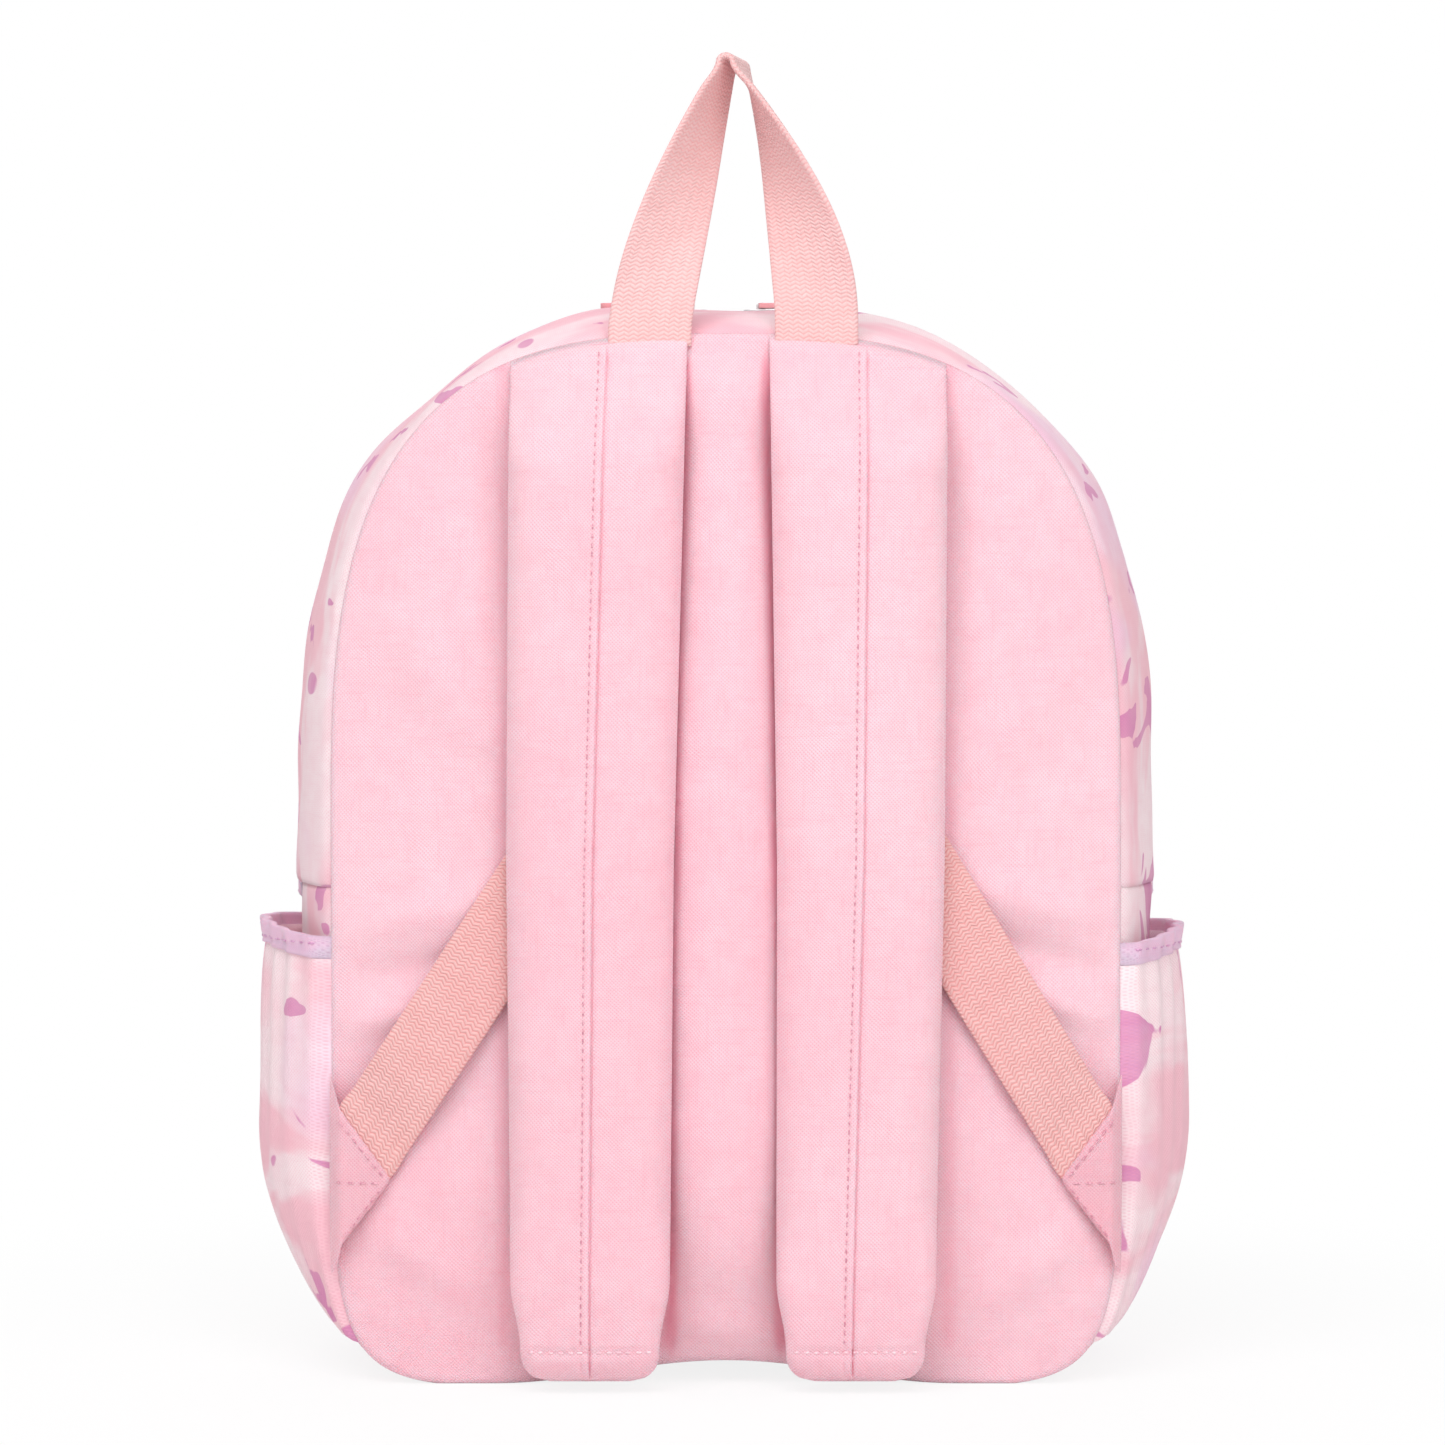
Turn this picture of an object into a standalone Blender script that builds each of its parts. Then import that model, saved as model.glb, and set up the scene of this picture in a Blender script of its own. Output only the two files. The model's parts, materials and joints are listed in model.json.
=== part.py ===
"""A child's school backpack: sewn shells, zips, padded shoulder straps, webbing and a grab handle.

Metres, +Z up. The back panel with the straps faces -Y and the front pocket faces +Y.
The origin is on the ground, under the middle of the bag. Left and right are as seen from the strap side.
"""

import math

import bmesh
import bpy
import numpy as np
from mathutils import Matrix, Vector

# Arch that the back panel, the gusset and the front panel share
PANEL_HALF_WIDTH = 0.119
PANEL_HEIGHT = 0.318
SPRING_Z = 0.170
TOP_POWER = 3.0
BASE_POWER = 9.0
FOOT_FLAT = 0.0012
FOOT_INNER_X = 0.070
BASE_RISE = 0.007
DENSE_POINTS = 1440

# Depth of the bag and the swelling of its sides
REAR_SEAM_Y = -0.0555
BAG_DEPTH = 0.100
SIDE_BULGE = 0.013
TOP_BULGE = 0.008
BULGE_POWER = 0.75
FABRIC = 0.0014
SEAM_GAP = 0.0003

# Back panel
BACK_CROWN = 0.009
CROWN_POWER = 3.5
PANEL_CENTRE_Z = 0.160
FOAM_THICKNESS = 0.006
FOAM_INSET = 0.007
LINING_THICKNESS = 0.0008
LINING_INSET = 0.0055

# Front panel, which folds open above the line where the main zip ends
FRONT_CROWN = 0.008
FOLD_Z = 0.150

# Main zip, along the upper gusset
ZIP_FROM_REAR = 0.062
TAPE_WIDTH = 0.0075
CHAIN_GAP = 0.0024
TAPE_THICKNESS = 0.001
ZIP_END_TAB_HEIGHT = 0.006
ZIP_END_TAB_THICKNESS = 0.001

# Zip sliders and pulls
SLIDER_LENGTH = 0.011
SLIDER_WIDTH = 0.0085
PLATE_THICKNESS = 0.0012
SLIDER_PLAY = 0.0012
NECK_WIDTH = 0.0014
NECK_LENGTH = 0.004
LUG_HEIGHT = 0.0024
LUG_LENGTH = 0.003
LUG_WIDTH = 0.0018
LUG_AXIS = 0.0013
PULL_LENGTH = 0.028
PULL_WIDTH = 0.006
PULL_THICKNESS = 0.0016
MAIN_SLIDER_X = 0.011
MAIN_SLIDER_TRAVEL = 0.040
PULL_HEEL = 0.0008
PULL_CLEARANCE = 0.0003

# Side pockets
SIDE_POCKET_BASE_Z = 0.024
SIDE_POCKET_TOP_Z = 0.132
SIDE_POCKET_DEPTH = 0.0115
SIDE_POCKET_GATHER = 0.18
SIDE_POCKET_MARGIN = 0.003
BINDING_HEIGHT = 0.007
BINDING_THICKNESS = 0.0022

# Front pocket
FRONT_POCKET_HALF_WIDTH = 0.088
FRONT_POCKET_BASE_Z = 0.024
FRONT_POCKET_TOP_Z = 0.141
FRONT_POCKET_CORNER = 0.024
FRONT_POCKET_DEPTH = 0.030
FRONT_POCKET_CROWN = 0.003
POCKET_ZIP_DROP = 0.023
POCKET_ZIP_Z = FRONT_POCKET_TOP_Z - POCKET_ZIP_DROP
POCKET_TAPE_WIDTH = 0.006
POCKET_SLIDER_X = FRONT_POCKET_HALF_WIDTH - 0.018
POCKET_STEP = 0.016
MESH_GAP = 0.0006

# Shoulder straps
STRAP_X_TOP = 0.039
STRAP_X_BASE = 0.0415
STRAP_WIDTH_TOP = 0.053
STRAP_WIDTH_BASE = 0.047
STRAP_WIDTH_END = 0.030
STRAP_THICKNESS = 0.010
STRAP_THICKNESS_TOP = 0.004
STRAP_THICKNESS_END = 0.005
STRAP_STANDOFF = 0.0055
STRAP_SEAM_LIFT = 0.0014
STRAP_TOP_Z = PANEL_HEIGHT - 0.0055
STRAP_FULL_TOP_Z = STRAP_TOP_Z - 0.0365
STRAP_BEND_Z = 0.034
STRAP_END_Z = 0.005
STRAP_SKIN = 0.0012
STRAP_FOAM_TOP_Z = STRAP_TOP_Z - 0.0165
STRAP_FOAM_END_Z = 0.022
STRAP_SQUARENESS = 4.0
STRAP_TOP_SHARES = (0.0, 0.23, 0.45, 0.72)
STRAP_RUN_SHARES = (0.0, 0.33, 0.66, 0.90)
STRAP_END_SHARES = (0.0, 0.41, 0.76, 1.0)

# Webbing
WEBBING_WIDTH = 0.025
WEBBING_THICKNESS = 0.0014
WEBBING_FOLD_Z = 0.175
WEBBING_END_Z = 0.0215
WEBBING_LIFT = 0.0014
WEBBING_LAYER = 0.0019
WEBBING_STATIONS = 7

# Ladder lock and the loop that ties it to the strap
LOCK_BAR_RADIUS = 0.0010
LOCK_BAR_OFFSET = 0.0020
LOCK_RAIL_WIDTH = 0.0032
LOCK_SLOT_WIDTH = 0.0260
LOCK_LOOP_Z = 0.0165
LOCK_BAR_STEP = 0.0085
LOCK_RAIL_OVERHANG = 0.0016
LOOP_THICKNESS = 0.0010
LOOP_CLEARANCE = 0.0004
LOOP_END_Z = 0.0080
LOCK_FROM_STRAP = 0.0036

# Fabric tabs that hold the lower webbing
TAB_THICKNESS = 0.0032
TAB_TOP = (PANEL_HALF_WIDTH - 0.0010, 0.0870)
TAB_TIP = (PANEL_HALF_WIDTH - 0.0185, 0.0630)
TAB_FOOT = (PANEL_HALF_WIDTH - 0.0030, 0.0400)

# Grab handle
HANDLE_X = 0.0250
HANDLE_RISE = 0.0813
HANDLE_BASE_Z = PANEL_HEIGHT - 0.0008
HANDLE_PEAK_Z = HANDLE_BASE_Z + HANDLE_RISE
HANDLE_THICKNESS = 0.0016
HANDLE_BEND = 0.0050
HANDLE_SWEEP = 1.25
HANDLE_LIFT = 0.0015
HANDLE_TWIST_START = 0.30

# Mesh fineness
ARCH_STATIONS = 30
PANEL_STATIONS = 52
PANEL_RINGS = (0.35, 0.65, 0.85, 0.95, 1.0)
PLAIN_RINGS = (0.5, 0.85, 1.0)

FRONT_SEAM_Y = REAR_SEAM_Y + BAG_DEPTH
BACK_FACE_Y = REAR_SEAM_Y - FABRIC - BACK_CROWN
STRAP_BACK_Y = BACK_FACE_Y - STRAP_STANDOFF
ZIP_Y = REAR_SEAM_Y + ZIP_FROM_REAR
SIDES = {"left": -1, "right": 1}

PINK = (0.93, 0.62, 0.70)
LILAC = (0.86, 0.62, 0.80)
SALMON = (0.95, 0.52, 0.50)
PRINT = (0.90, 0.66, 0.76)
FOAM = (0.90, 0.90, 0.88)
ZIP_PINK = (0.86, 0.56, 0.70)
NICKEL = (0.62, 0.62, 0.64)


class Arch:
    """The closed arch outline in the XZ plane, measured along its length from the middle of its base."""

    def __init__(self):
        turn = np.linspace(-math.pi / 2, 1.5 * math.pi, DENSE_POINTS + 1)
        across, up = np.cos(turn), np.sin(turn)
        power = np.where(up >= 0, TOP_POWER, BASE_POWER)
        rise = np.where(up >= 0, PANEL_HEIGHT - SPRING_Z, SPRING_Z)
        x = PANEL_HALF_WIDTH * np.sign(across) * np.abs(across) ** (2 / power)
        z = SPRING_Z + rise * np.sign(up) * np.abs(up) ** (2 / power)
        x, z = self.even(x, z)
        low = z < FOOT_FLAT + BASE_RISE
        z = np.where(low, np.maximum(z, FOOT_FLAT), z) - FOOT_FLAT
        inner = low & (np.abs(x) < FOOT_INNER_X)
        z = z + np.where(inner, BASE_RISE * np.cos(math.pi * x / (2 * FOOT_INNER_X)) ** 2, 0.0)
        self.x, self.z = x, z
        self.s = np.linspace(0.0, 1.0, len(x))
        dx, dz = np.gradient(x), np.gradient(z)
        length = np.hypot(dx, dz)
        self.nx, self.nz = dz / length, -dx / length
        self.length = length.sum()

    @staticmethod
    def even(x, z):
        """The same curve with its points evenly spaced."""
        along = np.concatenate([[0.0], np.cumsum(np.hypot(np.diff(x), np.diff(z)))])
        place = np.linspace(0.0, along[-1], DENSE_POINTS + 1)
        return np.interp(place, along, x), np.interp(place, along, z)

    def at(self, s):
        """The point and the outward normal at share s of the length: x, z, nx, nz."""
        s = s % 1.0
        return [float(np.interp(s, self.s, row)) for row in (self.x, self.z, self.nx, self.nz)]

    def share_at_height(self, z):
        """The share of the length at which the right side reaches height z."""
        half = len(self.s) // 2
        rising = slice(half // 4, half)
        return float(np.interp(z, self.z[rising], self.s[rising]))

    def stations(self, first, last, count):
        """Shares of the length, closer together where the outline turns."""
        s = np.linspace(first, last, 40 * count)
        nx = np.interp(s % 1.0, self.s, self.nx)
        nz = np.interp(s % 1.0, self.s, self.nz)
        turned = np.concatenate([[0.0], np.cumsum(np.hypot(np.diff(nx), np.diff(nz)))])
        weight = (s - first) / (last - first) + turned / turned[-1]
        return np.interp(np.linspace(0.0, weight[-1], count + 1), weight, s)

    def foot_shares(self):
        """Shares of the length at which the right foot's flat starts and ends."""
        half = len(self.s) // 2
        flat = np.flatnonzero((self.z[:half] < 1e-9) & (self.nz[:half] < -1 + 1e-9))
        return float(self.s[flat[0]]), float(self.s[flat[-1]])

    def reach(self, x, z):
        """How far a point lies from the panel's centre towards the outline, from 0 to 1."""
        angle = math.atan2(x, z - PANEL_CENTRE_Z)
        edge = np.arctan2(self.x[:-1], self.z[:-1] - PANEL_CENTRE_Z)
        order = np.argsort(edge)
        radius = np.hypot(self.x[:-1], self.z[:-1] - PANEL_CENTRE_Z)[order]
        return math.hypot(x, z - PANEL_CENTRE_Z) / float(
            np.interp(angle, edge[order], radius, period=2 * math.pi)
        )


ARCH = Arch()


def crown(x, z, height):
    """How far a domed panel stands out at a point."""
    return height * (1.0 - min(1.0, ARCH.reach(x, z)) ** CROWN_POWER)


def back_y(x, z):
    """The outer face of the back panel."""
    return REAR_SEAM_Y - FABRIC - crown(x, z, BACK_CROWN)


def front_y(x, z):
    """The outer face of the front panel."""
    return FRONT_SEAM_Y + FABRIC + crown(x, z, FRONT_CROWN)


def gusset_point(s, y, offset=0.0):
    """A point on the gusset's outer face, or that far outside it."""
    x, z, nx, nz = ARCH.at(s)
    across = math.sin(math.pi * min(1.0, max(0.0, (y - REAR_SEAM_Y) / BAG_DEPTH)))
    swell = (SIDE_BULGE * nx * nx + TOP_BULGE * max(nz, 0.0) ** 2) * across**BULGE_POWER
    return Vector((x + nx * (swell + offset), y, z + nz * (swell + offset)))


def clear_scene():
    """Remove every object that the file starts with."""
    for obj in list(bpy.data.objects):
        bpy.data.objects.remove(obj, do_unlink=True)


def new_collection(name):
    """A collection in the scene."""
    collection = bpy.data.collections.new(name)
    bpy.context.scene.collection.children.link(collection)
    return collection


def new_material(name, colour, roughness, metallic=0.0):
    """A Principled material."""
    material = bpy.data.materials.new(name)
    material.use_nodes = True
    shader = material.node_tree.nodes["Principled BSDF"]
    shader.inputs["Base Color"].default_value = (*colour, 1.0)
    shader.inputs["Roughness"].default_value = roughness
    shader.inputs["Metallic"].default_value = metallic
    return material


clear_scene()
PARTS = new_collection("school_backpack")
CUTTERS = new_collection("cutters")
PINK_CLOTH = new_material("pink_cloth", PINK, 0.85)
PRINTED_CLOTH = new_material("printed_cloth", PRINT, 0.85)
LILAC_TAPE = new_material("lilac_tape", LILAC, 0.85)
SALMON_WEBBING = new_material("salmon_webbing", SALMON, 0.80)
WHITE_FOAM = new_material("white_foam", FOAM, 0.95)
ZIP_TAPE = new_material("zip_tape", ZIP_PINK, 0.80)
PINK_PLASTIC = new_material("pink_plastic", SALMON, 0.45)
NICKEL_METAL = new_material("nickel_metal", NICKEL, 0.30, 1.0)


def keep(obj, name, material, collection=PARTS):
    """Name an object, give it its material and put it in its collection alone."""
    obj.name = name
    obj.data.name = name
    obj.data.materials.clear()
    obj.data.materials.append(material)
    for other in list(obj.users_collection):
        other.objects.unlink(obj)
    collection.objects.link(obj)
    return obj


def mesh_object(name, bm, material, collection=PARTS):
    """An object made from a bmesh."""
    mesh = bpy.data.meshes.new(name)
    bm.to_mesh(mesh)
    bm.free()
    mesh.shade_smooth()
    mesh.set_sharp_from_angle(angle=math.radians(35))
    return keep(bpy.data.objects.new(name, mesh), name, material, collection)


def thicken(obj, thickness, outward=False):
    """Give an open surface its wall, on the inside unless told otherwise."""
    wall = obj.modifiers.new("wall", "SOLIDIFY")
    wall.thickness = thickness
    wall.offset = 1.0 if outward else -1.0
    wall.use_even_offset = True
    return obj


def grid_surface(rows, away_from):
    """An open surface through rows of points, with its faces pointing away from a point."""
    bm = bmesh.new()
    corners = [[bm.verts.new(point) for point in row] for row in rows]
    for low, high in zip(corners, corners[1:]):
        for i in range(len(low) - 1):
            bm.faces.new((low[i], low[i + 1], high[i + 1], high[i]))
    bm.normal_update()
    facing = sum((face.calc_center_median() - Vector(away_from)).dot(face.normal) for face in bm.faces)
    if facing < 0:
        bmesh.ops.reverse_faces(bm, faces=bm.faces)
    return bm


def loft_solid(sections):
    """A closed solid through closed sections that have equal numbers of points."""
    bm = bmesh.new()
    loops = [[bm.verts.new(point) for point in section] for section in sections]
    count = len(loops[0])
    for low, high in zip(loops, loops[1:]):
        for i in range(count):
            after = (i + 1) % count
            bm.faces.new((low[i], low[after], high[after], high[i]))
    bm.faces.new(loops[0])
    bm.faces.new(reversed(loops[-1]))
    bmesh.ops.recalc_face_normals(bm, faces=bm.faces)
    return bm


def ribbon(name, stations, thickness, material):
    """A strip of webbing through stations of two edge points and a normal."""
    sections = []
    for first, second, normal in stations:
        half = Vector(normal).normalized() * (thickness / 2)
        first, second = Vector(first), Vector(second)
        sections.append([first - half, second - half, second + half, first + half])
    return mesh_object(name, loft_solid(sections), material)


def domed_panel(outline, centre, rings, face_y, front):
    """An open polar surface inside an outline of (x, z) points, lifted to face_y(x, z)."""
    bm = bmesh.new()
    hub_x, hub_z = centre
    hub = bm.verts.new((hub_x, face_y(hub_x, hub_z), hub_z))
    loops = []
    for share in rings:
        loop = []
        for x, z in outline:
            px, pz = hub_x + share * (x - hub_x), hub_z + share * (z - hub_z)
            loop.append(bm.verts.new((px, face_y(px, pz), pz)))
        loops.append(loop)
    count = len(outline)
    for i in range(count):
        after = (i + 1) % count
        bm.faces.new((hub, loops[0][i], loops[0][after]))
        for low, high in zip(loops, loops[1:]):
            bm.faces.new((low[i], high[i], high[after], low[after]))
    bm.normal_update()
    facing = sum(face.normal.y for face in bm.faces)
    if (facing > 0) != front:
        bmesh.ops.reverse_faces(bm, faces=bm.faces)
    return bm


def slice_between(bm, low=None, high=None):
    """Keep what lies between two heights of an open surface."""
    for height, direction in ((low, -1), (high, 1)):
        if height is not None:
            bmesh.ops.bisect_plane(
                bm,
                geom=bm.verts[:] + bm.edges[:] + bm.faces[:],
                plane_co=(0, 0, height),
                plane_no=(0, 0, direction),
                clear_outer=True,
            )
    return bm


def cut(obj, cutter, operation="DIFFERENCE"):
    """Cut or join an object with another, which then only helps."""
    change = obj.modifiers.new(operation.lower(), "BOOLEAN")
    change.operation = operation
    change.object = cutter
    cutter.hide_render = True
    cutter.display_type = "WIRE"
    return obj


def block(name, low, high, material, collection=PARTS):
    """A box between two corners."""
    low, high = Vector(low), Vector(high)
    bpy.ops.mesh.primitive_cube_add(size=1.0)
    obj = keep(bpy.context.object, name, material, collection)
    for vertex in obj.data.vertices:
        vertex.co = [a + (b - a) * (c + 0.5) for a, b, c in zip(low, high, vertex.co)]
    return obj


def rod(name, centre, radius, length, material, collection=CUTTERS):
    """A round bar along X."""
    bpy.ops.mesh.primitive_cylinder_add(
        vertices=12, radius=radius, depth=length, location=centre, rotation=(0, math.pi / 2, 0)
    )
    return keep(bpy.context.object, name, material, collection)


def set_origin(obj, point):
    """Move an object's origin, and leave its shape where it is."""
    shift = Vector(point) - obj.location
    for vertex in obj.data.vertices:
        vertex.co -= shift
    obj.location = point
    return obj


def ease(share):
    """A smooth step from 0 to 1."""
    share = min(1.0, max(0.0, share))
    return share * share * (3.0 - 2.0 * share)


def mix(first, second, share):
    """A value between two others."""
    return first + (second - first) * share


def inset_outline(inset, count):
    """The arch as (x, z) points, drawn in by a distance."""
    points = []
    for s in ARCH.stations(0.0, 1.0, count)[:-1]:
        x, z, nx, nz = ARCH.at(s)
        points.append((x - nx * inset, z - nz * inset))
    return points


def build_back():
    """The domed back panel: its cover, its foam and its lining."""
    hub = (0.0, PANEL_CENTRE_Z)
    outer = inset_outline(0.0, PANEL_STATIONS)
    cover = domed_panel(outer, hub, PANEL_RINGS, back_y, front=False)
    thicken(mesh_object("back_panel_cover", cover, PINK_CLOTH), FABRIC)
    foam_shift = FABRIC + SEAM_GAP
    foam = domed_panel(
        inset_outline(FOAM_INSET, PANEL_STATIONS), hub, PANEL_RINGS,
        lambda x, z: back_y(x, z) + foam_shift, front=False,
    )
    thicken(mesh_object("back_panel_foam", foam, WHITE_FOAM), FOAM_THICKNESS)
    lining_shift = foam_shift + FOAM_THICKNESS + MESH_GAP
    lining = domed_panel(
        inset_outline(LINING_INSET, PANEL_STATIONS), hub, PANEL_RINGS,
        lambda x, z: back_y(x, z) + lining_shift, front=False,
    )
    thicken(mesh_object("back_panel_lining", lining, LILAC_TAPE), LINING_THICKNESS)


def band(name, first, last, edges, thickness, material, extra=()):
    """A strip of the gusset between two shares of the arch and between two depths.

    Extra shares get stations of their own.
    """
    near, far = edges
    steps = max(1, round((far - near) / 0.016))
    depths = [mix(near, far, i / steps) for i in range(steps + 1)]
    rows = []
    for s in sorted([*ARCH.stations(first, last, ARCH_STATIONS), *extra]):
        rows.append([gusset_point(s, y) for y in depths])
    middle = (0.0, REAR_SEAM_Y + BAG_DEPTH / 2, SPRING_Z)
    return thicken(mesh_object(name, grid_surface(rows, middle), material), thickness)


def build_gusset(flap_hinge):
    """The lower gusset, and above it the zip between its rear and its front gusset."""
    low = ARCH.share_at_height(FOLD_Z - SEAM_GAP / 2)
    high = ARCH.share_at_height(FOLD_Z + SEAM_GAP / 2)
    rear, front = REAR_SEAM_Y + SEAM_GAP, FRONT_SEAM_Y - SEAM_GAP
    tape = (ZIP_Y - TAPE_WIDTH, ZIP_Y - CHAIN_GAP / 2, ZIP_Y + CHAIN_GAP / 2, ZIP_Y + TAPE_WIDTH)
    feet = [side * share for side in SIDES.values() for share in ARCH.foot_shares()]
    band("lower_gusset", -low, low, (rear, front), FABRIC, PRINTED_CLOTH, feet)
    band("rear_zip_gusset", high, 1 - high, (rear, tape[0] - SEAM_GAP), FABRIC, PRINTED_CLOTH)
    band("main_zip_rear_tape", high, 1 - high, tape[0:2], TAPE_THICKNESS, ZIP_TAPE)
    flap = [
        band("main_zip_front_tape", high, 1 - high, tape[2:4], TAPE_THICKNESS, ZIP_TAPE),
        band("front_zip_gusset", high, 1 - high, (tape[3] + SEAM_GAP, front), FABRIC, PRINTED_CLOTH),
    ]
    for piece in flap:
        set_origin(piece, flap_hinge)


def build_front(flap_hinge):
    """The front panel: the lower half sewn fast, and the upper half that folds down."""
    for name, low, high in (
        ("front_panel_lower", None, FOLD_Z - SEAM_GAP / 2),
        ("front_panel_upper", FOLD_Z + SEAM_GAP / 2, None),
    ):
        outer = inset_outline(0.0, PANEL_STATIONS)
        surface = domed_panel(outer, (0.0, PANEL_CENTRE_Z), PANEL_RINGS, front_y, front=True)
        panel = thicken(mesh_object(name, slice_between(surface, low, high), PRINTED_CLOTH), FABRIC)
    set_origin(panel, flap_hinge)


def build_zip_end_tab(name, side):
    """A small patch over the lower end of the main zip."""
    top = FOLD_Z - SEAM_GAP
    rows = []
    for height in (top - ZIP_END_TAB_HEIGHT, top):
        s = ARCH.share_at_height(height)
        ends = np.linspace(ZIP_Y - TAPE_WIDTH, ZIP_Y + TAPE_WIDTH, 4)
        rows.append([gusset_point(s if side > 0 else 1 - s, y, MESH_GAP) for y in ends])
    surface = grid_surface(rows, (0.0, ZIP_Y, top))
    thicken(mesh_object(name, surface, LILAC_TAPE), ZIP_END_TAB_THICKNESS, outward=True)


def side_pocket_point(height, y, side):
    """A point on the inner face of a side pocket."""
    up = min(1.0, (height - SIDE_POCKET_BASE_Z) / (SIDE_POCKET_TOP_Z - SIDE_POCKET_BASE_Z))
    across = (y - REAR_SEAM_Y - SIDE_POCKET_MARGIN) / (BAG_DEPTH - 2 * SIDE_POCKET_MARGIN)
    swell = math.sin(math.pi * min(1.0, max(0.0, across))) ** 0.5 * (1 - (1 - up) ** 3)
    swell *= 1 - SIDE_POCKET_GATHER * up**6
    s = ARCH.share_at_height(height)
    return gusset_point(s if side > 0 else 1 - s, y, MESH_GAP + SIDE_POCKET_DEPTH * swell)


def build_side_pocket(label, side):
    """An open side pocket with an elastic binding round its mouth."""
    turn = np.linspace(-math.pi / 2, math.pi / 2, 13)
    reach = BAG_DEPTH / 2 - SIDE_POCKET_MARGIN
    depths = REAR_SEAM_Y + BAG_DEPTH / 2 + reach * np.sin(turn)
    middle = (0.0, REAR_SEAM_Y + BAG_DEPTH / 2, SIDE_POCKET_BASE_Z)
    heights = SIDE_POCKET_BASE_Z + (SIDE_POCKET_TOP_Z - SIDE_POCKET_BASE_Z) * np.linspace(0, 1, 8) ** 1.3
    rows = [[side_pocket_point(z, y, side) for y in depths] for z in heights]
    pocket = mesh_object(f"side_pocket_{label}", grid_surface(rows, middle), PRINTED_CLOTH)
    thicken(pocket, FABRIC, outward=True)
    rim = SIDE_POCKET_TOP_Z + SEAM_GAP
    rows = [[side_pocket_point(z, y, side) for y in depths] for z in (rim, rim + BINDING_HEIGHT)]
    binding = mesh_object(f"side_pocket_binding_{label}", grid_surface(rows, middle), LILAC_TAPE)
    thicken(binding, BINDING_THICKNESS, outward=True)


def front_pocket_outline():
    """The rounded outline of the front pocket as (x, z) points."""
    corner = FRONT_POCKET_CORNER
    inner_x = FRONT_POCKET_HALF_WIDTH - corner
    centres = (
        (inner_x, FRONT_POCKET_BASE_Z + corner, -90),
        (inner_x, FRONT_POCKET_TOP_Z - corner, 0),
        (-inner_x, FRONT_POCKET_TOP_Z - corner, 90),
        (-inner_x, FRONT_POCKET_BASE_Z + corner, 180),
    )
    points = []
    for x, z, first in centres:
        for step in range(6):
            angle = math.radians(first + 18 * step)
            points.append((x + corner * math.cos(angle), z + corner * math.sin(angle)))
    outline = []
    for (x, z), (next_x, next_z) in zip(points, points[1:] + points[:1]):
        steps = max(1, round(math.hypot(next_x - x, next_z - z) / POCKET_STEP))
        outline += [(mix(x, next_x, i / steps), mix(z, next_z, i / steps)) for i in range(steps)]
    return outline


POCKET_SEAM_Y = FRONT_SEAM_Y + FRONT_POCKET_DEPTH


def pocket_face_y(x, z):
    """The outer face of the front pocket."""
    middle = (FRONT_POCKET_BASE_Z + FRONT_POCKET_TOP_Z) / 2
    half = (FRONT_POCKET_TOP_Z - FRONT_POCKET_BASE_Z) / 2
    reach = max(abs(x) / FRONT_POCKET_HALF_WIDTH, abs(z - middle) / half)
    return POCKET_SEAM_Y + FABRIC + FRONT_POCKET_CROWN * (1 - min(1.0, reach) ** CROWN_POWER)


def build_front_pocket():
    """The bellows pocket on the front: its wall, its face in two pieces and its zip tapes."""
    outline = front_pocket_outline()
    rows = []
    for x, z in outline + outline[:1]:
        near = front_y(x, z) + MESH_GAP
        rows.append([Vector((x, mix(near, POCKET_SEAM_Y - SEAM_GAP, i / 2), z)) for i in range(3)])
    middle = (0.0, POCKET_SEAM_Y, (FRONT_POCKET_BASE_Z + FRONT_POCKET_TOP_Z) / 2)
    wall = grid_surface(rows, middle)
    bmesh.ops.remove_doubles(wall, verts=wall.verts, dist=1e-6)
    thicken(mesh_object("front_pocket_wall", wall, PRINTED_CLOTH), FABRIC)
    half = CHAIN_GAP / 2
    outside = POCKET_TAPE_WIDTH + SEAM_GAP
    slices = (
        ("front_pocket_face", None, POCKET_ZIP_Z - half - outside, FABRIC, PRINTED_CLOTH),
        ("front_pocket_lower_tape", POCKET_ZIP_Z - half - POCKET_TAPE_WIDTH, POCKET_ZIP_Z - half,
         TAPE_THICKNESS, ZIP_TAPE),
        ("front_pocket_upper_tape", POCKET_ZIP_Z + half, POCKET_ZIP_Z + half + POCKET_TAPE_WIDTH,
         TAPE_THICKNESS, ZIP_TAPE),
        ("front_pocket_header", POCKET_ZIP_Z + half + outside, None, FABRIC, PRINTED_CLOTH),
    )
    for name, low, high, thickness, material in slices:
        face = domed_panel(outline, (0.0, middle[2]), PLAIN_RINGS, pocket_face_y, front=True)
        thicken(mesh_object(name, slice_between(face, low, high), material), thickness)


def strap_station(z):
    """Centre x, back face y, width and thickness of a shoulder strap at a height."""
    down = (STRAP_TOP_Z - z) / (STRAP_TOP_Z - STRAP_END_Z)
    top = ease((STRAP_TOP_Z - z) / (STRAP_TOP_Z - STRAP_FULL_TOP_Z))
    end = max(0.0, (STRAP_BEND_Z - z) / (STRAP_BEND_Z - STRAP_END_Z))
    x = mix(STRAP_X_TOP, STRAP_X_BASE, min(1.0, 2 * down))
    back = mix(REAR_SEAM_Y - FABRIC - STRAP_SEAM_LIFT, STRAP_BACK_Y, top)
    width = mix(mix(STRAP_WIDTH_TOP, STRAP_WIDTH_BASE, down), STRAP_WIDTH_END, end**2)
    thickness = mix(mix(STRAP_THICKNESS_TOP, STRAP_THICKNESS, top), STRAP_THICKNESS_END, end**2)
    return x, back, width, thickness


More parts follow.
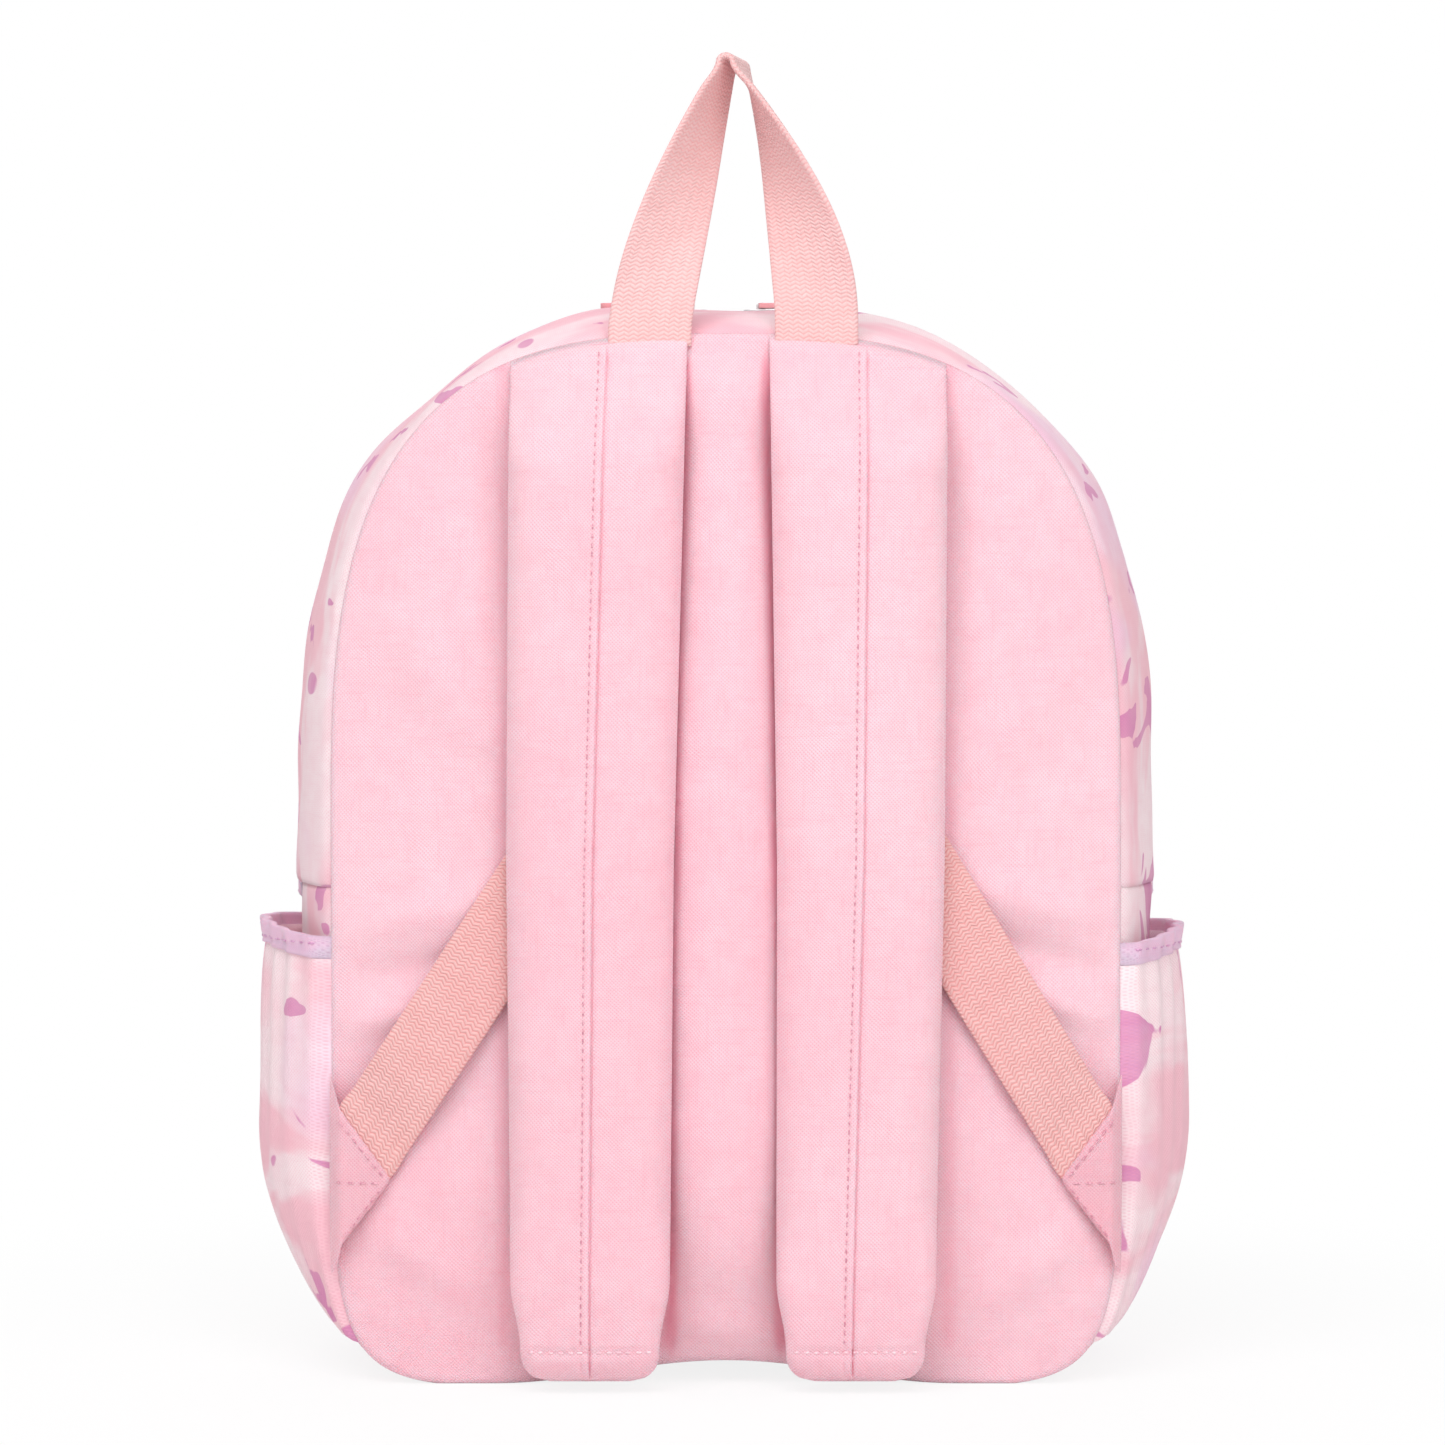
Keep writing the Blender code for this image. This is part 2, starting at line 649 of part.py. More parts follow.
def strap_sections(heights, side, inset):
    """Closed rounded sections of a strap, drawn in by a distance."""
    sections = []
    for z in heights:
        x, back, width, thickness = strap_station(z)
        centre = back - thickness / 2
        section = []
        for step in range(16):
            angle = 2 * math.pi * (step + 0.5) / 16
            across, out = math.cos(angle), math.sin(angle)
            power = 2 / STRAP_SQUARENESS
            across = math.copysign(abs(across) ** power, across) * (width / 2 - inset)
            out = math.copysign(abs(out) ** power, out) * (thickness / 2 - inset)
            section.append(Vector((side * x + across, centre + out, z)))
        sections.append(section)
    return sections


def strap_hinge(side):
    """The point about which a strap swings from the top seam."""
    x, back, _, thickness = strap_station(STRAP_TOP_Z)
    return Vector((side * x, back - thickness / 2, STRAP_TOP_Z))


LOCK_Y = STRAP_BACK_Y + LOCK_FROM_STRAP


def build_strap(label, side):
    """A padded strap: a cover that is open at its top, the foam in it and the loop at its end."""
    heights = [mix(STRAP_TOP_Z, STRAP_FULL_TOP_Z, share) for share in STRAP_TOP_SHARES]
    heights += [mix(STRAP_FULL_TOP_Z, STRAP_BEND_Z, share) for share in STRAP_RUN_SHARES]
    heights += [mix(STRAP_BEND_Z, STRAP_END_Z, share) for share in STRAP_END_SHARES]
    cover = mesh_object(
        f"strap_cover_{label}", loft_solid(strap_sections(heights, side, 0.0)), PINK_CLOTH
    )
    inside = [STRAP_TOP_Z + STRAP_SKIN] + [z for z in heights if z > STRAP_FOAM_END_Z] + [STRAP_FOAM_END_Z]
    hollow = mesh_object(
        f"strap_hollow_{label}", loft_solid(strap_sections(inside, side, STRAP_SKIN)), PINK_CLOTH, CUTTERS
    )
    cut(cover, hollow)
    core = [STRAP_FOAM_TOP_Z] + [z for z in heights if STRAP_FOAM_END_Z < z < STRAP_FOAM_TOP_Z]
    core += [STRAP_FOAM_END_Z + SEAM_GAP]
    foam = mesh_object(
        f"strap_foam_{label}",
        loft_solid(strap_sections(core, side, STRAP_SKIN + SEAM_GAP)),
        WHITE_FOAM,
    )
    loop = build_loop(label, side)
    for piece in (cover, foam, loop):
        set_origin(piece, strap_hinge(side))


def build_loop(label, side):
    """The webbing loop from the strap's end round the ladder lock's lowest bar."""
    radius = LOCK_BAR_RADIUS + LOOP_CLEARANCE + LOOP_THICKNESS / 2
    front_y_end = STRAP_BACK_Y + SEAM_GAP + LOOP_THICKNESS / 2
    path = [(front_y_end, LOOP_END_Z), (LOCK_Y - radius, LOCK_LOOP_Z - 0.002)]
    for step in range(7):
        angle = math.pi * (1 - step / 6)
        path.append((LOCK_Y + radius * math.cos(angle), LOCK_LOOP_Z + radius * math.sin(angle)))
    path.append((LOCK_Y + radius, LOCK_LOOP_Z - 0.002))
    path.append((front_y_end + LOOP_THICKNESS + SEAM_GAP, LOOP_END_Z))
    stations = []
    for i, (y, z) in enumerate(path):
        before, after = path[max(0, i - 1)], path[min(len(path) - 1, i + 1)]
        dy, dz = after[0] - before[0], after[1] - before[1]
        left, right = (side * STRAP_X_BASE + k * WEBBING_WIDTH / 2 for k in (-1, 1))
        stations.append(((left, y, z), (right, y, z), (0, -dz, dy)))
    return ribbon(f"strap_loop_{label}", stations, LOOP_THICKNESS, SALMON_WEBBING)


def build_lock(label, side):
    """A ladder lock: two rails and four bars, with the webbing passing between the bars."""
    x = side * STRAP_X_BASE
    reach = LOCK_SLOT_WIDTH / 2 + LOCK_RAIL_WIDTH
    half = LOCK_BAR_OFFSET + LOCK_BAR_RADIUS
    low = LOCK_LOOP_Z - LOCK_BAR_RADIUS - LOCK_RAIL_OVERHANG / 4
    high = LOCK_LOOP_Z + 3 * LOCK_BAR_STEP + LOCK_RAIL_OVERHANG
    name = f"ladder_lock_{label}"
    lock = block(
        name, (x - reach, LOCK_Y - half, low), (x - LOCK_SLOT_WIDTH / 2, LOCK_Y + half, high), PINK_PLASTIC
    )
    other = block(
        f"{name}_rail", (x + LOCK_SLOT_WIDTH / 2, LOCK_Y - half, low), (x + reach, LOCK_Y + half, high),
        PINK_PLASTIC, CUTTERS,
    )
    length = LOCK_SLOT_WIDTH + LOCK_RAIL_WIDTH
    offsets = (0.0, LOCK_BAR_OFFSET, -LOCK_BAR_OFFSET, LOCK_BAR_OFFSET)
    for step, offset in enumerate(offsets):
        centre = (x, LOCK_Y + offset, LOCK_LOOP_Z + step * LOCK_BAR_STEP)
        cut(lock, rod(f"{name}_bar_{step}", centre, LOCK_BAR_RADIUS, length, PINK_PLASTIC), "UNION")
    cut(lock, other, "UNION")
    set_origin(lock, (x, LOCK_Y, LOCK_LOOP_Z))


def tab_middle_y():
    """The middle of a webbing tab's thickness, which rests on the back panel."""
    nearest = min(back_y(*corner) for corner in (TAB_TOP, TAB_TIP, TAB_FOOT))
    return nearest - MESH_GAP - TAB_THICKNESS / 2


def build_tab(label, side):
    """The folded fabric tab in the side seam that holds the end of the lower webbing."""
    curve = bpy.data.curves.new(f"webbing_tab_{label}", "CURVE")
    curve.dimensions = "2D"
    curve.fill_mode = "BOTH"
    curve.extrude = TAB_THICKNESS / 2
    spline = curve.splines.new("POLY")
    spline.points.add(2)
    for point, (x, z) in zip(spline.points, (TAB_TOP, TAB_TIP, TAB_FOOT)):
        point.co = (side * x, z, 0.0, 1.0)
    spline.use_cyclic_u = True
    tab = keep(bpy.data.objects.new(curve.name, curve), curve.name, PINK_CLOTH)
    tab.rotation_euler = (math.pi / 2, 0, 0)
    tab.location = (0, tab_middle_y(), 0)


def build_webbing(label, side):
    """The lower webbing: from its tab up behind the strap, folded over, and down through the lock."""
    top, tip = Vector((TAB_TOP[0], 0, TAB_TOP[1])), Vector((TAB_TIP[0], 0, TAB_TIP[1]))
    edge = (tip - top).normalized()
    off = Vector((-edge.z, 0, edge.x))
    off = off if off.z > 0 else -off
    start = (top + off * MESH_GAP, tip + off * MESH_GAP)
    fold = Vector((STRAP_X_BASE, 0, WEBBING_FOLD_Z))
    run = (fold - (start[0] + start[1]) / 2).normalized()
    normal = (Vector((0, 0, -1)) - run).normalized()
    crease = Vector((-normal.z, 0, normal.x)) * (WEBBING_WIDTH / 2 / abs(normal.z))
    ends = (fold + crease, fold - crease)
    stations = []
    layer_y = BACK_FACE_Y - WEBBING_LIFT
    for step in range(WEBBING_STATIONS):
        share = step / (WEBBING_STATIONS - 1)
        pair = [mix(a, b, share) for a, b in zip(start, ends)]
        under = min(back_y(p.x, p.z) for p in (*pair, (pair[0] + pair[1]) / 2))
        y = mix(tab_middle_y(), min(under, layer_y + 0.001) - WEBBING_LIFT, ease(4 * share))
        y = mix(y, layer_y, ease(share))
        stations.append((pair, y, Vector((0, 1, 0))))
    half = WEBBING_LAYER / 2
    rise = -normal * half
    stations.append(([p + rise for p in ends], layer_y - half, rise))
    stations.append((ends, layer_y - WEBBING_LAYER, Vector((0, -1, 0))))
    for z, y in ((0.120, layer_y - WEBBING_LAYER), (0.060, LOCK_Y), (WEBBING_END_Z, LOCK_Y)):
        pair = [Vector((STRAP_X_BASE + k * WEBBING_WIDTH / 2, 0, z)) for k in (1, -1)]
        stations.append((pair, y, Vector((0, -1, 0))))
    placed = []
    for (first, second), y, facing in stations:
        flip = Vector((side, 1, 1))
        points = [Vector((p.x, y, p.z)) * flip for p in (first, second)]
        placed.append((*points, facing * flip))
    ribbon(f"lower_webbing_{label}", placed, WEBBING_THICKNESS, SALMON_WEBBING)


HANDLE_Y = REAR_SEAM_Y - FABRIC - HANDLE_LIFT


def handle_station(share, side):
    """Edge points and normal of the handle at a share of one leg, from its seam to the peak's bend."""
    shoulder = HANDLE_PEAK_Z - HANDLE_BEND
    x = mix(HANDLE_BEND, HANDLE_X, 1 - share**HANDLE_SWEEP)
    slope = (HANDLE_X - HANDLE_BEND) * HANDLE_SWEEP * share ** (HANDLE_SWEEP - 1)
    rise = Vector((-side * slope, 0, shoulder - HANDLE_BASE_Z))
    twist = math.pi / 2 * max(0.0, (share - HANDLE_TWIST_START) / (1 - HANDLE_TWIST_START))
    across = Vector((side * math.cos(twist), -math.sin(twist), 0))
    centre = Vector((side * x, HANDLE_Y, mix(HANDLE_BASE_Z, shoulder, share)))
    facing = across.cross(rise) * -side
    half = across * (WEBBING_WIDTH / 2)
    return centre + half, centre - half, facing


def build_handle():
    """The grab handle: a strip of webbing that turns edge-on as it rises to its peak."""
    shares = [0.0, 0.15, 0.30, 0.42, 0.54, 0.66, 0.78, 0.90, 1.0]
    stations = [handle_station(share, -1) for share in shares]
    half = Vector((0, -WEBBING_WIDTH / 2, 0))
    for step in range(1, 6):
        angle = math.pi * (1 - step / 6)
        out = Vector((math.cos(angle), 0, math.sin(angle)))
        centre = Vector((0, HANDLE_Y, HANDLE_PEAK_Z - HANDLE_BEND)) + out * HANDLE_BEND
        stations.append((centre + half, centre - half, out))
    stations += [handle_station(share, 1) for share in reversed(shares)]
    facing = stations[0][2]
    aligned = []
    for first, second, normal in stations:
        normal = normal if normal.dot(facing) > 0 else -normal
        facing = normal
        aligned.append((first, second, normal))
    handle = ribbon("grab_handle", aligned, HANDLE_THICKNESS, SALMON_WEBBING)
    set_origin(handle, (0, HANDLE_Y, HANDLE_BASE_Z))


def build_slider(name, place, upward, heel):
    """A zip slider whose plates lie above and below the tapes, with a lug for its pull.

    Args: the track point, the direction it faces, and the end (1 or -1) at which the neck stands.
    """
    half = SLIDER_WIDTH / 2
    end = SLIDER_LENGTH / 2
    above = SLIDER_PLAY
    below = -TAPE_THICKNESS - SLIDER_PLAY
    along, across = (LUG_LENGTH, LUG_WIDTH) if upward else (LUG_WIDTH, LUG_LENGTH)
    slider = block(name, (-end, -half, above), (end, half, above + PLATE_THICKNESS), NICKEL_METAL)
    pieces = (
        ("under", (-end, -half, below - PLATE_THICKNESS), (end, half, below)),
        ("neck", (heel * end - NECK_LENGTH * (heel > 0), -NECK_WIDTH / 2, below - PLATE_THICKNESS / 2),
         (heel * end + NECK_LENGTH * (heel < 0), NECK_WIDTH / 2, above + PLATE_THICKNESS / 2)),
        ("lug", (-along / 2, -across / 2, above + PLATE_THICKNESS / 2),
         (along / 2, across / 2, above + PLATE_THICKNESS + LUG_HEIGHT)),
    )
    turn = (0, 0, 0) if upward else (-math.pi / 2, 0, 0)
    slider.location = place
    slider.rotation_euler = turn
    for label, low, high in pieces:
        piece = block(f"{name}_{label}", low, high, NICKEL_METAL, CUTTERS)
        piece.location = place
        piece.rotation_euler = turn
        cut(slider, piece, "UNION")
    return above + PLATE_THICKNESS + LUG_AXIS


def build_pull(name, hinge, turn):
    """A pull whose fork straddles a slider's lug, along its own +X and turned into place."""
    low = (-PULL_HEEL, -PULL_WIDTH / 2, -PULL_THICKNESS / 2)
    high = (PULL_LENGTH, PULL_WIDTH / 2, PULL_THICKNESS / 2)
    pull = block(name, low, high, PINK_PLASTIC)
    gap = LUG_WIDTH / 2 + PULL_CLEARANCE
    slot = block(
        f"{name}_slot", (-2 * PULL_HEEL, -gap, -PULL_THICKNESS), (LUG_HEIGHT, gap, PULL_THICKNESS),
        PINK_PLASTIC, CUTTERS,
    )
    for piece in (pull, slot):
        piece.location = hinge
        piece.rotation_euler = turn
    cut(pull, slot)


def top_share(x):
    """The share of the arch's length at which its top passes over x."""
    half = len(ARCH.s) // 2
    top = slice(half - half // 4, half + half // 4)
    return float(np.interp(-x, -ARCH.x[top], ARCH.s[top]))


def slider_arc_z():
    """The height of the axis round which the main sliders run over the flat top of the arch."""
    start = gusset_point(top_share(MAIN_SLIDER_X), ZIP_Y)
    end = gusset_point(top_share(MAIN_SLIDER_X + MAIN_SLIDER_TRAVEL), ZIP_Y)
    drop = start.z - end.z
    return (start.z + end.z) / 2 - (end.x**2 - start.x**2) / (2 * drop)


def build_sliders():
    """The two main sliders and the pocket slider, each with its pull."""
    for label, side in SIDES.items():
        place = gusset_point(top_share(side * MAIN_SLIDER_X), ZIP_Y)
        rise = build_slider(f"main_slider_{label}", place, True, side)
        set_origin(PARTS.objects[f"main_slider_{label}"], (0, ZIP_Y, slider_arc_z()))
        turn = (0, 0, 0) if side > 0 else (0, 0, math.pi)
        build_pull(f"main_pull_{label}", place + Vector((0, 0, rise)), turn)
    place = Vector((POCKET_SLIDER_X, pocket_face_y(POCKET_SLIDER_X, POCKET_ZIP_Z), POCKET_ZIP_Z))
    rise = build_slider("pocket_slider", place, False, -1)
    hanging = Matrix(((0, -1, 0), (0, 0, 1), (-1, 0, 0))).to_euler()
    build_pull("pocket_pull", place + Vector((0, rise, 0)), hanging)


def build_backpack():
    """Build every piece in place."""
    flap_hinge = (0.0, FRONT_SEAM_Y + FABRIC + FRONT_CROWN + SEAM_GAP, FOLD_Z)
    build_back()
    build_gusset(flap_hinge)
    build_front(flap_hinge)
    build_front_pocket()
    for label, side in SIDES.items():
        build_zip_end_tab(f"zip_end_tab_{label}", side)
        build_side_pocket(label, side)
        build_strap(label, side)
        build_lock(label, side)
        build_tab(label, side)
        build_webbing(label, side)
    build_handle()
    build_sliders()


build_backpack()
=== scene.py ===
"""The looks of a child's school backpack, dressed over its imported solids.

Metres, +Z up. The straps face -Y, which is the side that the camera sees, and the pocket faces +Y.
Left and right are as seen from the strap side.
"""

import json
import logging
import math
from contextlib import contextmanager
from dataclasses import dataclass, field
from enum import Enum
from functools import cache
from typing import Callable, Iterator, Optional, Sequence

import bmesh
import bpy
import numpy as np
from mathutils import Matrix, Vector
from mathutils.bvhtree import BVHTree

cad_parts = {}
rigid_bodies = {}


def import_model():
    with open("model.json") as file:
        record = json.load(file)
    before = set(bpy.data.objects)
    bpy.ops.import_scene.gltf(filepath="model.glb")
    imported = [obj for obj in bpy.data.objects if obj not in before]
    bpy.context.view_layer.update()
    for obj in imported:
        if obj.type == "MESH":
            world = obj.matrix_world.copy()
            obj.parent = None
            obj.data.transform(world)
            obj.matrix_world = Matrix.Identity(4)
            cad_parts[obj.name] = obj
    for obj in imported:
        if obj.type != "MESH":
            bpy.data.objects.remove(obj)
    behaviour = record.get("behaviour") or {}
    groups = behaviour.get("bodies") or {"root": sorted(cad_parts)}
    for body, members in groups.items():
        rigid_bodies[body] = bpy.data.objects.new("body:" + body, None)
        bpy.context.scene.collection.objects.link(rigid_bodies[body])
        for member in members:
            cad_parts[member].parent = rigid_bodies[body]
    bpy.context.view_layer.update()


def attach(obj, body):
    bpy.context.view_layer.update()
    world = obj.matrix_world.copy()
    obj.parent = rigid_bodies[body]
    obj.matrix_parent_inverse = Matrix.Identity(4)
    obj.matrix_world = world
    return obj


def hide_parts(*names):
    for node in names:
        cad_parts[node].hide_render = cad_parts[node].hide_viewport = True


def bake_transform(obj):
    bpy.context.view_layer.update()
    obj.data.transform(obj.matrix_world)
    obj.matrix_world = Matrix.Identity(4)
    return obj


LOG = logging.getLogger("school_backpack")
Array = np.ndarray
Point = tuple[float, float, float]
Colour = tuple[int, int, int]
Piece = bpy.types.Object
Node = bpy.types.Node
Tree = bpy.types.NodeTree
Socket = bpy.types.NodeSocket


class Side(Enum):
    """The two sides of the bag, as seen from the straps, with the sign of their x."""

    LEFT = -1
    RIGHT = 1

    @property
    def label(self) -> str:
        """The word that names this side's pieces."""
        return self.name.lower()


# Small sums


def ease(share: Array | float) -> Array:
    """A smooth step from 0 to 1."""
    held = np.clip(share, 0.0, 1.0)
    return held * held * (3.0 - 2.0 * held)


def mix(first: Array | float, second: Array | float, share: Array | float) -> Array:
    """A value between two others."""
    return first + (second - first) * share


def bell(distance: Array | float, width: Array | float) -> Array:
    """A rounded hump that is 1 at no distance and fades over a width."""
    return np.exp(-((distance / width) ** 2))


def arc(share: Array | float) -> Array:
    """A rounded rise from 0 to 1 and back to 0 while a share goes from 0 to 1."""
    return np.sin(math.pi * share)


def power_of(value: Array, power: float) -> Array:
    """A power that keeps the sign."""
    return np.sign(value) * np.abs(value) ** power


def ripple(u: Array, v: Array, length: float, seed: int) -> Array:
    """Uneven soft waves of cloth over two directions, within about 1 either way.

    Args:
        u: First place, in metres.
        v: Second place, in metres.
        length: Usual wave length, in metres.
        seed: Which set of waves.

    Returns:
        The height of the waves.
    """
    dice = np.random.default_rng(seed)
    total = np.zeros(np.broadcast(u, v).shape)
    for _ in range(6):
        turn, stretch, phase = dice.uniform((0, 0.6, 0), (2 * math.pi, 1.5, 2 * math.pi))
        total = total + np.sin(
            2 * math.pi * stretch * (u * math.cos(turn) + v * math.sin(turn)) / length + phase
        )
    return total / 3.0


def crease(x: Array, z: Array, start: Sequence[float], end: Sequence[float], width: float) -> Array:
    """A ridge along a line in the XZ plane that dies out at both ends.

    Args:
        x: Places across.
        z: Places up.
        start: One end of the line.
        end: The other end.
        width: How far the ridge spreads to each side.

    Returns:
        The height of the ridge, from 0 to 1.
    """
    first, run = np.array(start), np.array(end) - np.array(start)
    along = ((x - first[0]) * run[0] + (z - first[1]) * run[1]) / (run @ run)
    held = np.clip(along, 0.0, 1.0)
    off = np.hypot(x - first[0] - held * run[0], z - first[1] - held * run[1])
    return bell(off, width) * arc(held) ** 0.7


def inside_ends(values: Array, width: float) -> Array:
    """0 at the lowest and the highest of some values, and 1 from a width inside them."""
    return np.clip(np.minimum(values - values.min(), values.max() - values) / width, 0.0, 1.0)


def joined(*columns: Array | float | list) -> Array:
    """Points or flat places from columns of numbers that are spread over one grid."""
    return np.stack(np.broadcast_arrays(*columns), -1)


def closed(rows: Array) -> Array:
    """Rows that end with their first column again."""
    return np.concatenate([rows, rows[:, :1]], axis=1)


def roll_in(shares: Array, rim: Array, roll: float) -> tuple[Array, Array]:
    """How deep in a panel's rolled edge each point lies, and its share of the drop there, from 0 to 1."""
    tuck = np.clip(1.0 - (1.0 - shares)[:, None] * rim[None] / roll, 0.0, 1.0)
    return tuck, 1.0 - np.sqrt(1.0 - tuck**2)


def travel(points: Array) -> Array:
    """How far along a line each of its points lies."""
    return np.concatenate([[0.0], np.cumsum(np.linalg.norm(np.diff(points, axis=0), axis=1))])


def even_ring(line: Array, count: int) -> tuple[Array, Array]:
    """Evenly spaced points on a closed line: how far along it each lies, and their columns."""
    along = travel(line)
    place = np.linspace(0, along[-1], count, endpoint=False)
    return place, np.array([np.interp(place, along, column) for column in line.T])


def smooth_path(points: Array, count: int) -> Array:
    """Evenly spaced points on a smooth curve through given ones.

    Args:
        points: The points, one row each, of any width.
        count: How many points to give back.

    Returns:
        The points on the curve.
    """
    points = np.asarray(points, float)
    step = travel(points[:, :3])
    slope = np.gradient(points, step, axis=0)
    place = np.linspace(0.0, step[-1], count)
    low = np.clip(np.searchsorted(step, place, side="right") - 1, 0, len(step) - 2)
    span = (step[low + 1] - step[low])[:, None]
    t = (place - step[low])[:, None] / span
    return (
        (2 * t**3 - 3 * t**2 + 1) * points[low]
        + (t**3 - 2 * t**2 + t) * span * slope[low]
        + (3 * t**2 - 2 * t**3) * points[low + 1]
        + (t**3 - t**2) * span * slope[low + 1]
    )


def unit(rows: Array) -> Array:
    """The same directions with length 1."""
    return rows / np.maximum(np.linalg.norm(rows, axis=-1, keepdims=True), 1e-12)


# Cutting and sewing meshes


class Pattern:
    """Patches of points that are sewn into one mesh, with a UV map of flat sizes in metres."""

    def __init__(self) -> None:
        """Start with nothing cut."""
        self.points: list[Array] = []
        self.faces: list[list[int]] = []
        self.flat: list[Array] = []
        self.tones: list[int] = []
        self.count = 0

    def patch(
        self, points: Array, flat: Array, ring: bool = False, turned: bool = False, tone: int = 0
    ) -> None:
        """Add a grid of faces.

        Args:
            points: Rows of points.
            flat: The flat place of each point; a ring has one column more.
            ring: Whether each row closes on itself.
            turned: Whether the faces point the other way.
            tone: Which of the piece's finishes the faces take.
        """
        rows, columns = points.shape[:2]
        index = self.count + np.arange(rows * columns).reshape(rows, columns)
        if ring:
            index = closed(index)
        around = ((slice(-1), slice(-1)), (slice(-1), slice(1, None)))
        around += ((slice(1, None), slice(1, None)), (slice(1, None), slice(-1)))
        corners = np.stack([index[corner] for corner in around], -1).reshape(-1, 4)
        places = np.stack([flat[corner] for corner in around], -2).reshape(-1, 4, 2)
        if turned:
            corners, places = corners[:, ::-1], places[:, ::-1]
        self.points.append(points.reshape(-1, 3))
        self.count += rows * columns
        self.faces += corners.tolist()
        self.flat.append(places.reshape(-1, 2))
        self.tones += [tone] * len(corners)

    def fan(self, hub: Array, ring: Array, flat: Array, turned: bool = False, tone: int = 0) -> None:
        """Close a ring of points onto one in its middle.

        Args:
            hub: The middle point.
            ring: The points round it.
            flat: The flat places of the middle and then of the ring, which is repeated at its end.
            turned: Whether the faces point the other way.
            tone: Which of the piece's finishes the faces take.
        """
        size = len(ring)
        self.points.append(np.vstack([hub[None], ring]))
        for i in range(size):
            corners = [self.count, self.count + 1 + i, self.count + 1 + (i + 1) % size]
            places = [flat[0], flat[1 + i], flat[2 + i]]
            self.faces.append(corners[::-1] if turned else corners)
            self.flat.append(np.array(places[::-1] if turned else places))
            self.tones.append(tone)
        self.count += size + 1

    def disc(self, points: Array, hub: Array, shift: float, turned: bool = False) -> None:
        """Add rings of points round a hub, laid out flat by their x and z.

        Args:
            points: Rings of points, from the inmost out.
            hub: The middle point.
            shift: Where on the cloth it was cut.
            turned: Whether the faces point the other way.
        """
        flat = closed(points[..., [0, 2]] + shift)
        self.patch(points, flat, ring=True, turned=turned)
        self.fan(hub, points[0], np.vstack([hub[[0, 2]][None] + shift, flat[0]]), turned=not turned)

    def tube(self, points: Array, flat: Array) -> None:
        """Add a closed tube with both of its ends.

        Args:
            points: One ring of points to a row.
            flat: The flat place of each point, with one column more.
        """
        self.patch(points, flat, ring=True)
        for row, turned in ((0, False), (-1, True)):
            middle = points[row].mean(0)
            self.fan(middle, points[row], np.vstack([flat[row, :1], flat[row]]), turned=turned)

    def sew(self, name: str, away_from: Optional[Point] = None) -> Piece:
        """Make the object, with shared points merged.

        Args:
            name: The piece's name.
            away_from: A point that an open surface faces away from; left out where the turns are right.

        Returns:
            The object, in the scene.
        """
        piece = new_piece(name, np.vstack(self.points), self.faces)
        mesh = piece.data
        layer = mesh.uv_layers.new(name="flat")
        layer.data.foreach_set("uv", np.vstack(self.flat).astype(np.float32).ravel())
        mesh.polygons.foreach_set("material_index", np.array(self.tones, np.int32))
        bm = bmesh.new()
        bm.from_mesh(mesh)
        bmesh.ops.remove_doubles(bm, verts=bm.verts, dist=2e-7)
        if away_from is not None:
            bm.normal_update()
            middle = Vector(away_from)
            looks = [(f.calc_center_median() - middle).normalized().dot(f.normal) for f in bm.faces]
            if sum(look * face.calc_area() for look, face in zip(looks, bm.faces)) < 0:
                bmesh.ops.reverse_faces(bm, faces=bm.faces)
        bm.to_mesh(mesh)
        bm.free()
        mesh.shade_smooth()
        return piece


def link(made: Piece) -> Piece:
    """Put an object into the scene."""
    bpy.context.scene.collection.objects.link(made)
    return made


def new_piece(name: str, points: Array, faces: Sequence[Sequence[int]]) -> Piece:
    """An object in the scene with a mesh of these points and faces."""
    mesh = bpy.data.meshes.new(name)
    mesh.from_pydata(points.tolist(), [], faces)
    return link(bpy.data.objects.new(name, mesh))


def strew(name: str, copies: Array, faces: Sequence[Sequence[int]]) -> Piece:
    """One object with many copies of a small shape, from the points of each copy and the faces of one."""
    size = copies.shape[1]
    corners = [[k + i * size for k in face] for i in range(len(copies)) for face in faces]
    return new_piece(name, copies.reshape(-1, 3), corners)


def discard(model: Piece) -> None:
    """Throw an object and its mesh away."""
    mesh = model.data
    bpy.data.objects.remove(model)
    bpy.data.meshes.remove(mesh)


def take_shape(model: Piece) -> tuple[Array, list[list[int]]]:
    """The points and the faces of a model, which is then thrown away."""
    points = np.array([v.co for v in model.data.vertices])
    faces = [list(f.vertices) for f in model.data.polygons]
    discard(model)
    return points, faces


def places_of(piece: Piece) -> Array:
    """The places of all the points of a piece, one row each."""
    place = np.zeros(len(piece.data.vertices) * 3)
    piece.data.vertices.foreach_get("co", place)
    return place.reshape(-1, 3)


def pick_only(piece: Piece) -> None:
    """Make one object the only one that operators act on."""
    for other in list(bpy.context.selected_objects):
        other.select_set(False)
    piece.select_set(True)
    bpy.context.view_layer.objects.active = piece


@contextmanager
def editing(piece: Piece, chosen: bool) -> Iterator[None]:
    """Work on one object in edit mode, with all or none of it selected at first."""
    pick_only(piece)
    bpy.ops.object.mode_set(mode="EDIT")
    bpy.ops.mesh.select_all(action="SELECT" if chosen else "DESELECT")
    yield
    bpy.ops.object.mode_set(mode="OBJECT")


def choose(piece: Piece, kind: str, test: Callable[[object], bool]) -> None:
    """Select what passes a test in edit mode.

    Args:
        piece: The object that is in edit mode.
        kind: Whether edges or faces are selected: EDGE or FACE.
        test: Whether an edge or a face is selected.
    """
    bpy.ops.mesh.select_mode(type=kind)
    bm = bmesh.from_edit_mesh(piece.data)
    for part in bm.edges if kind == "EDGE" else bm.faces:
        part.select_set(test(part))
    bmesh.update_edit_mesh(piece.data)


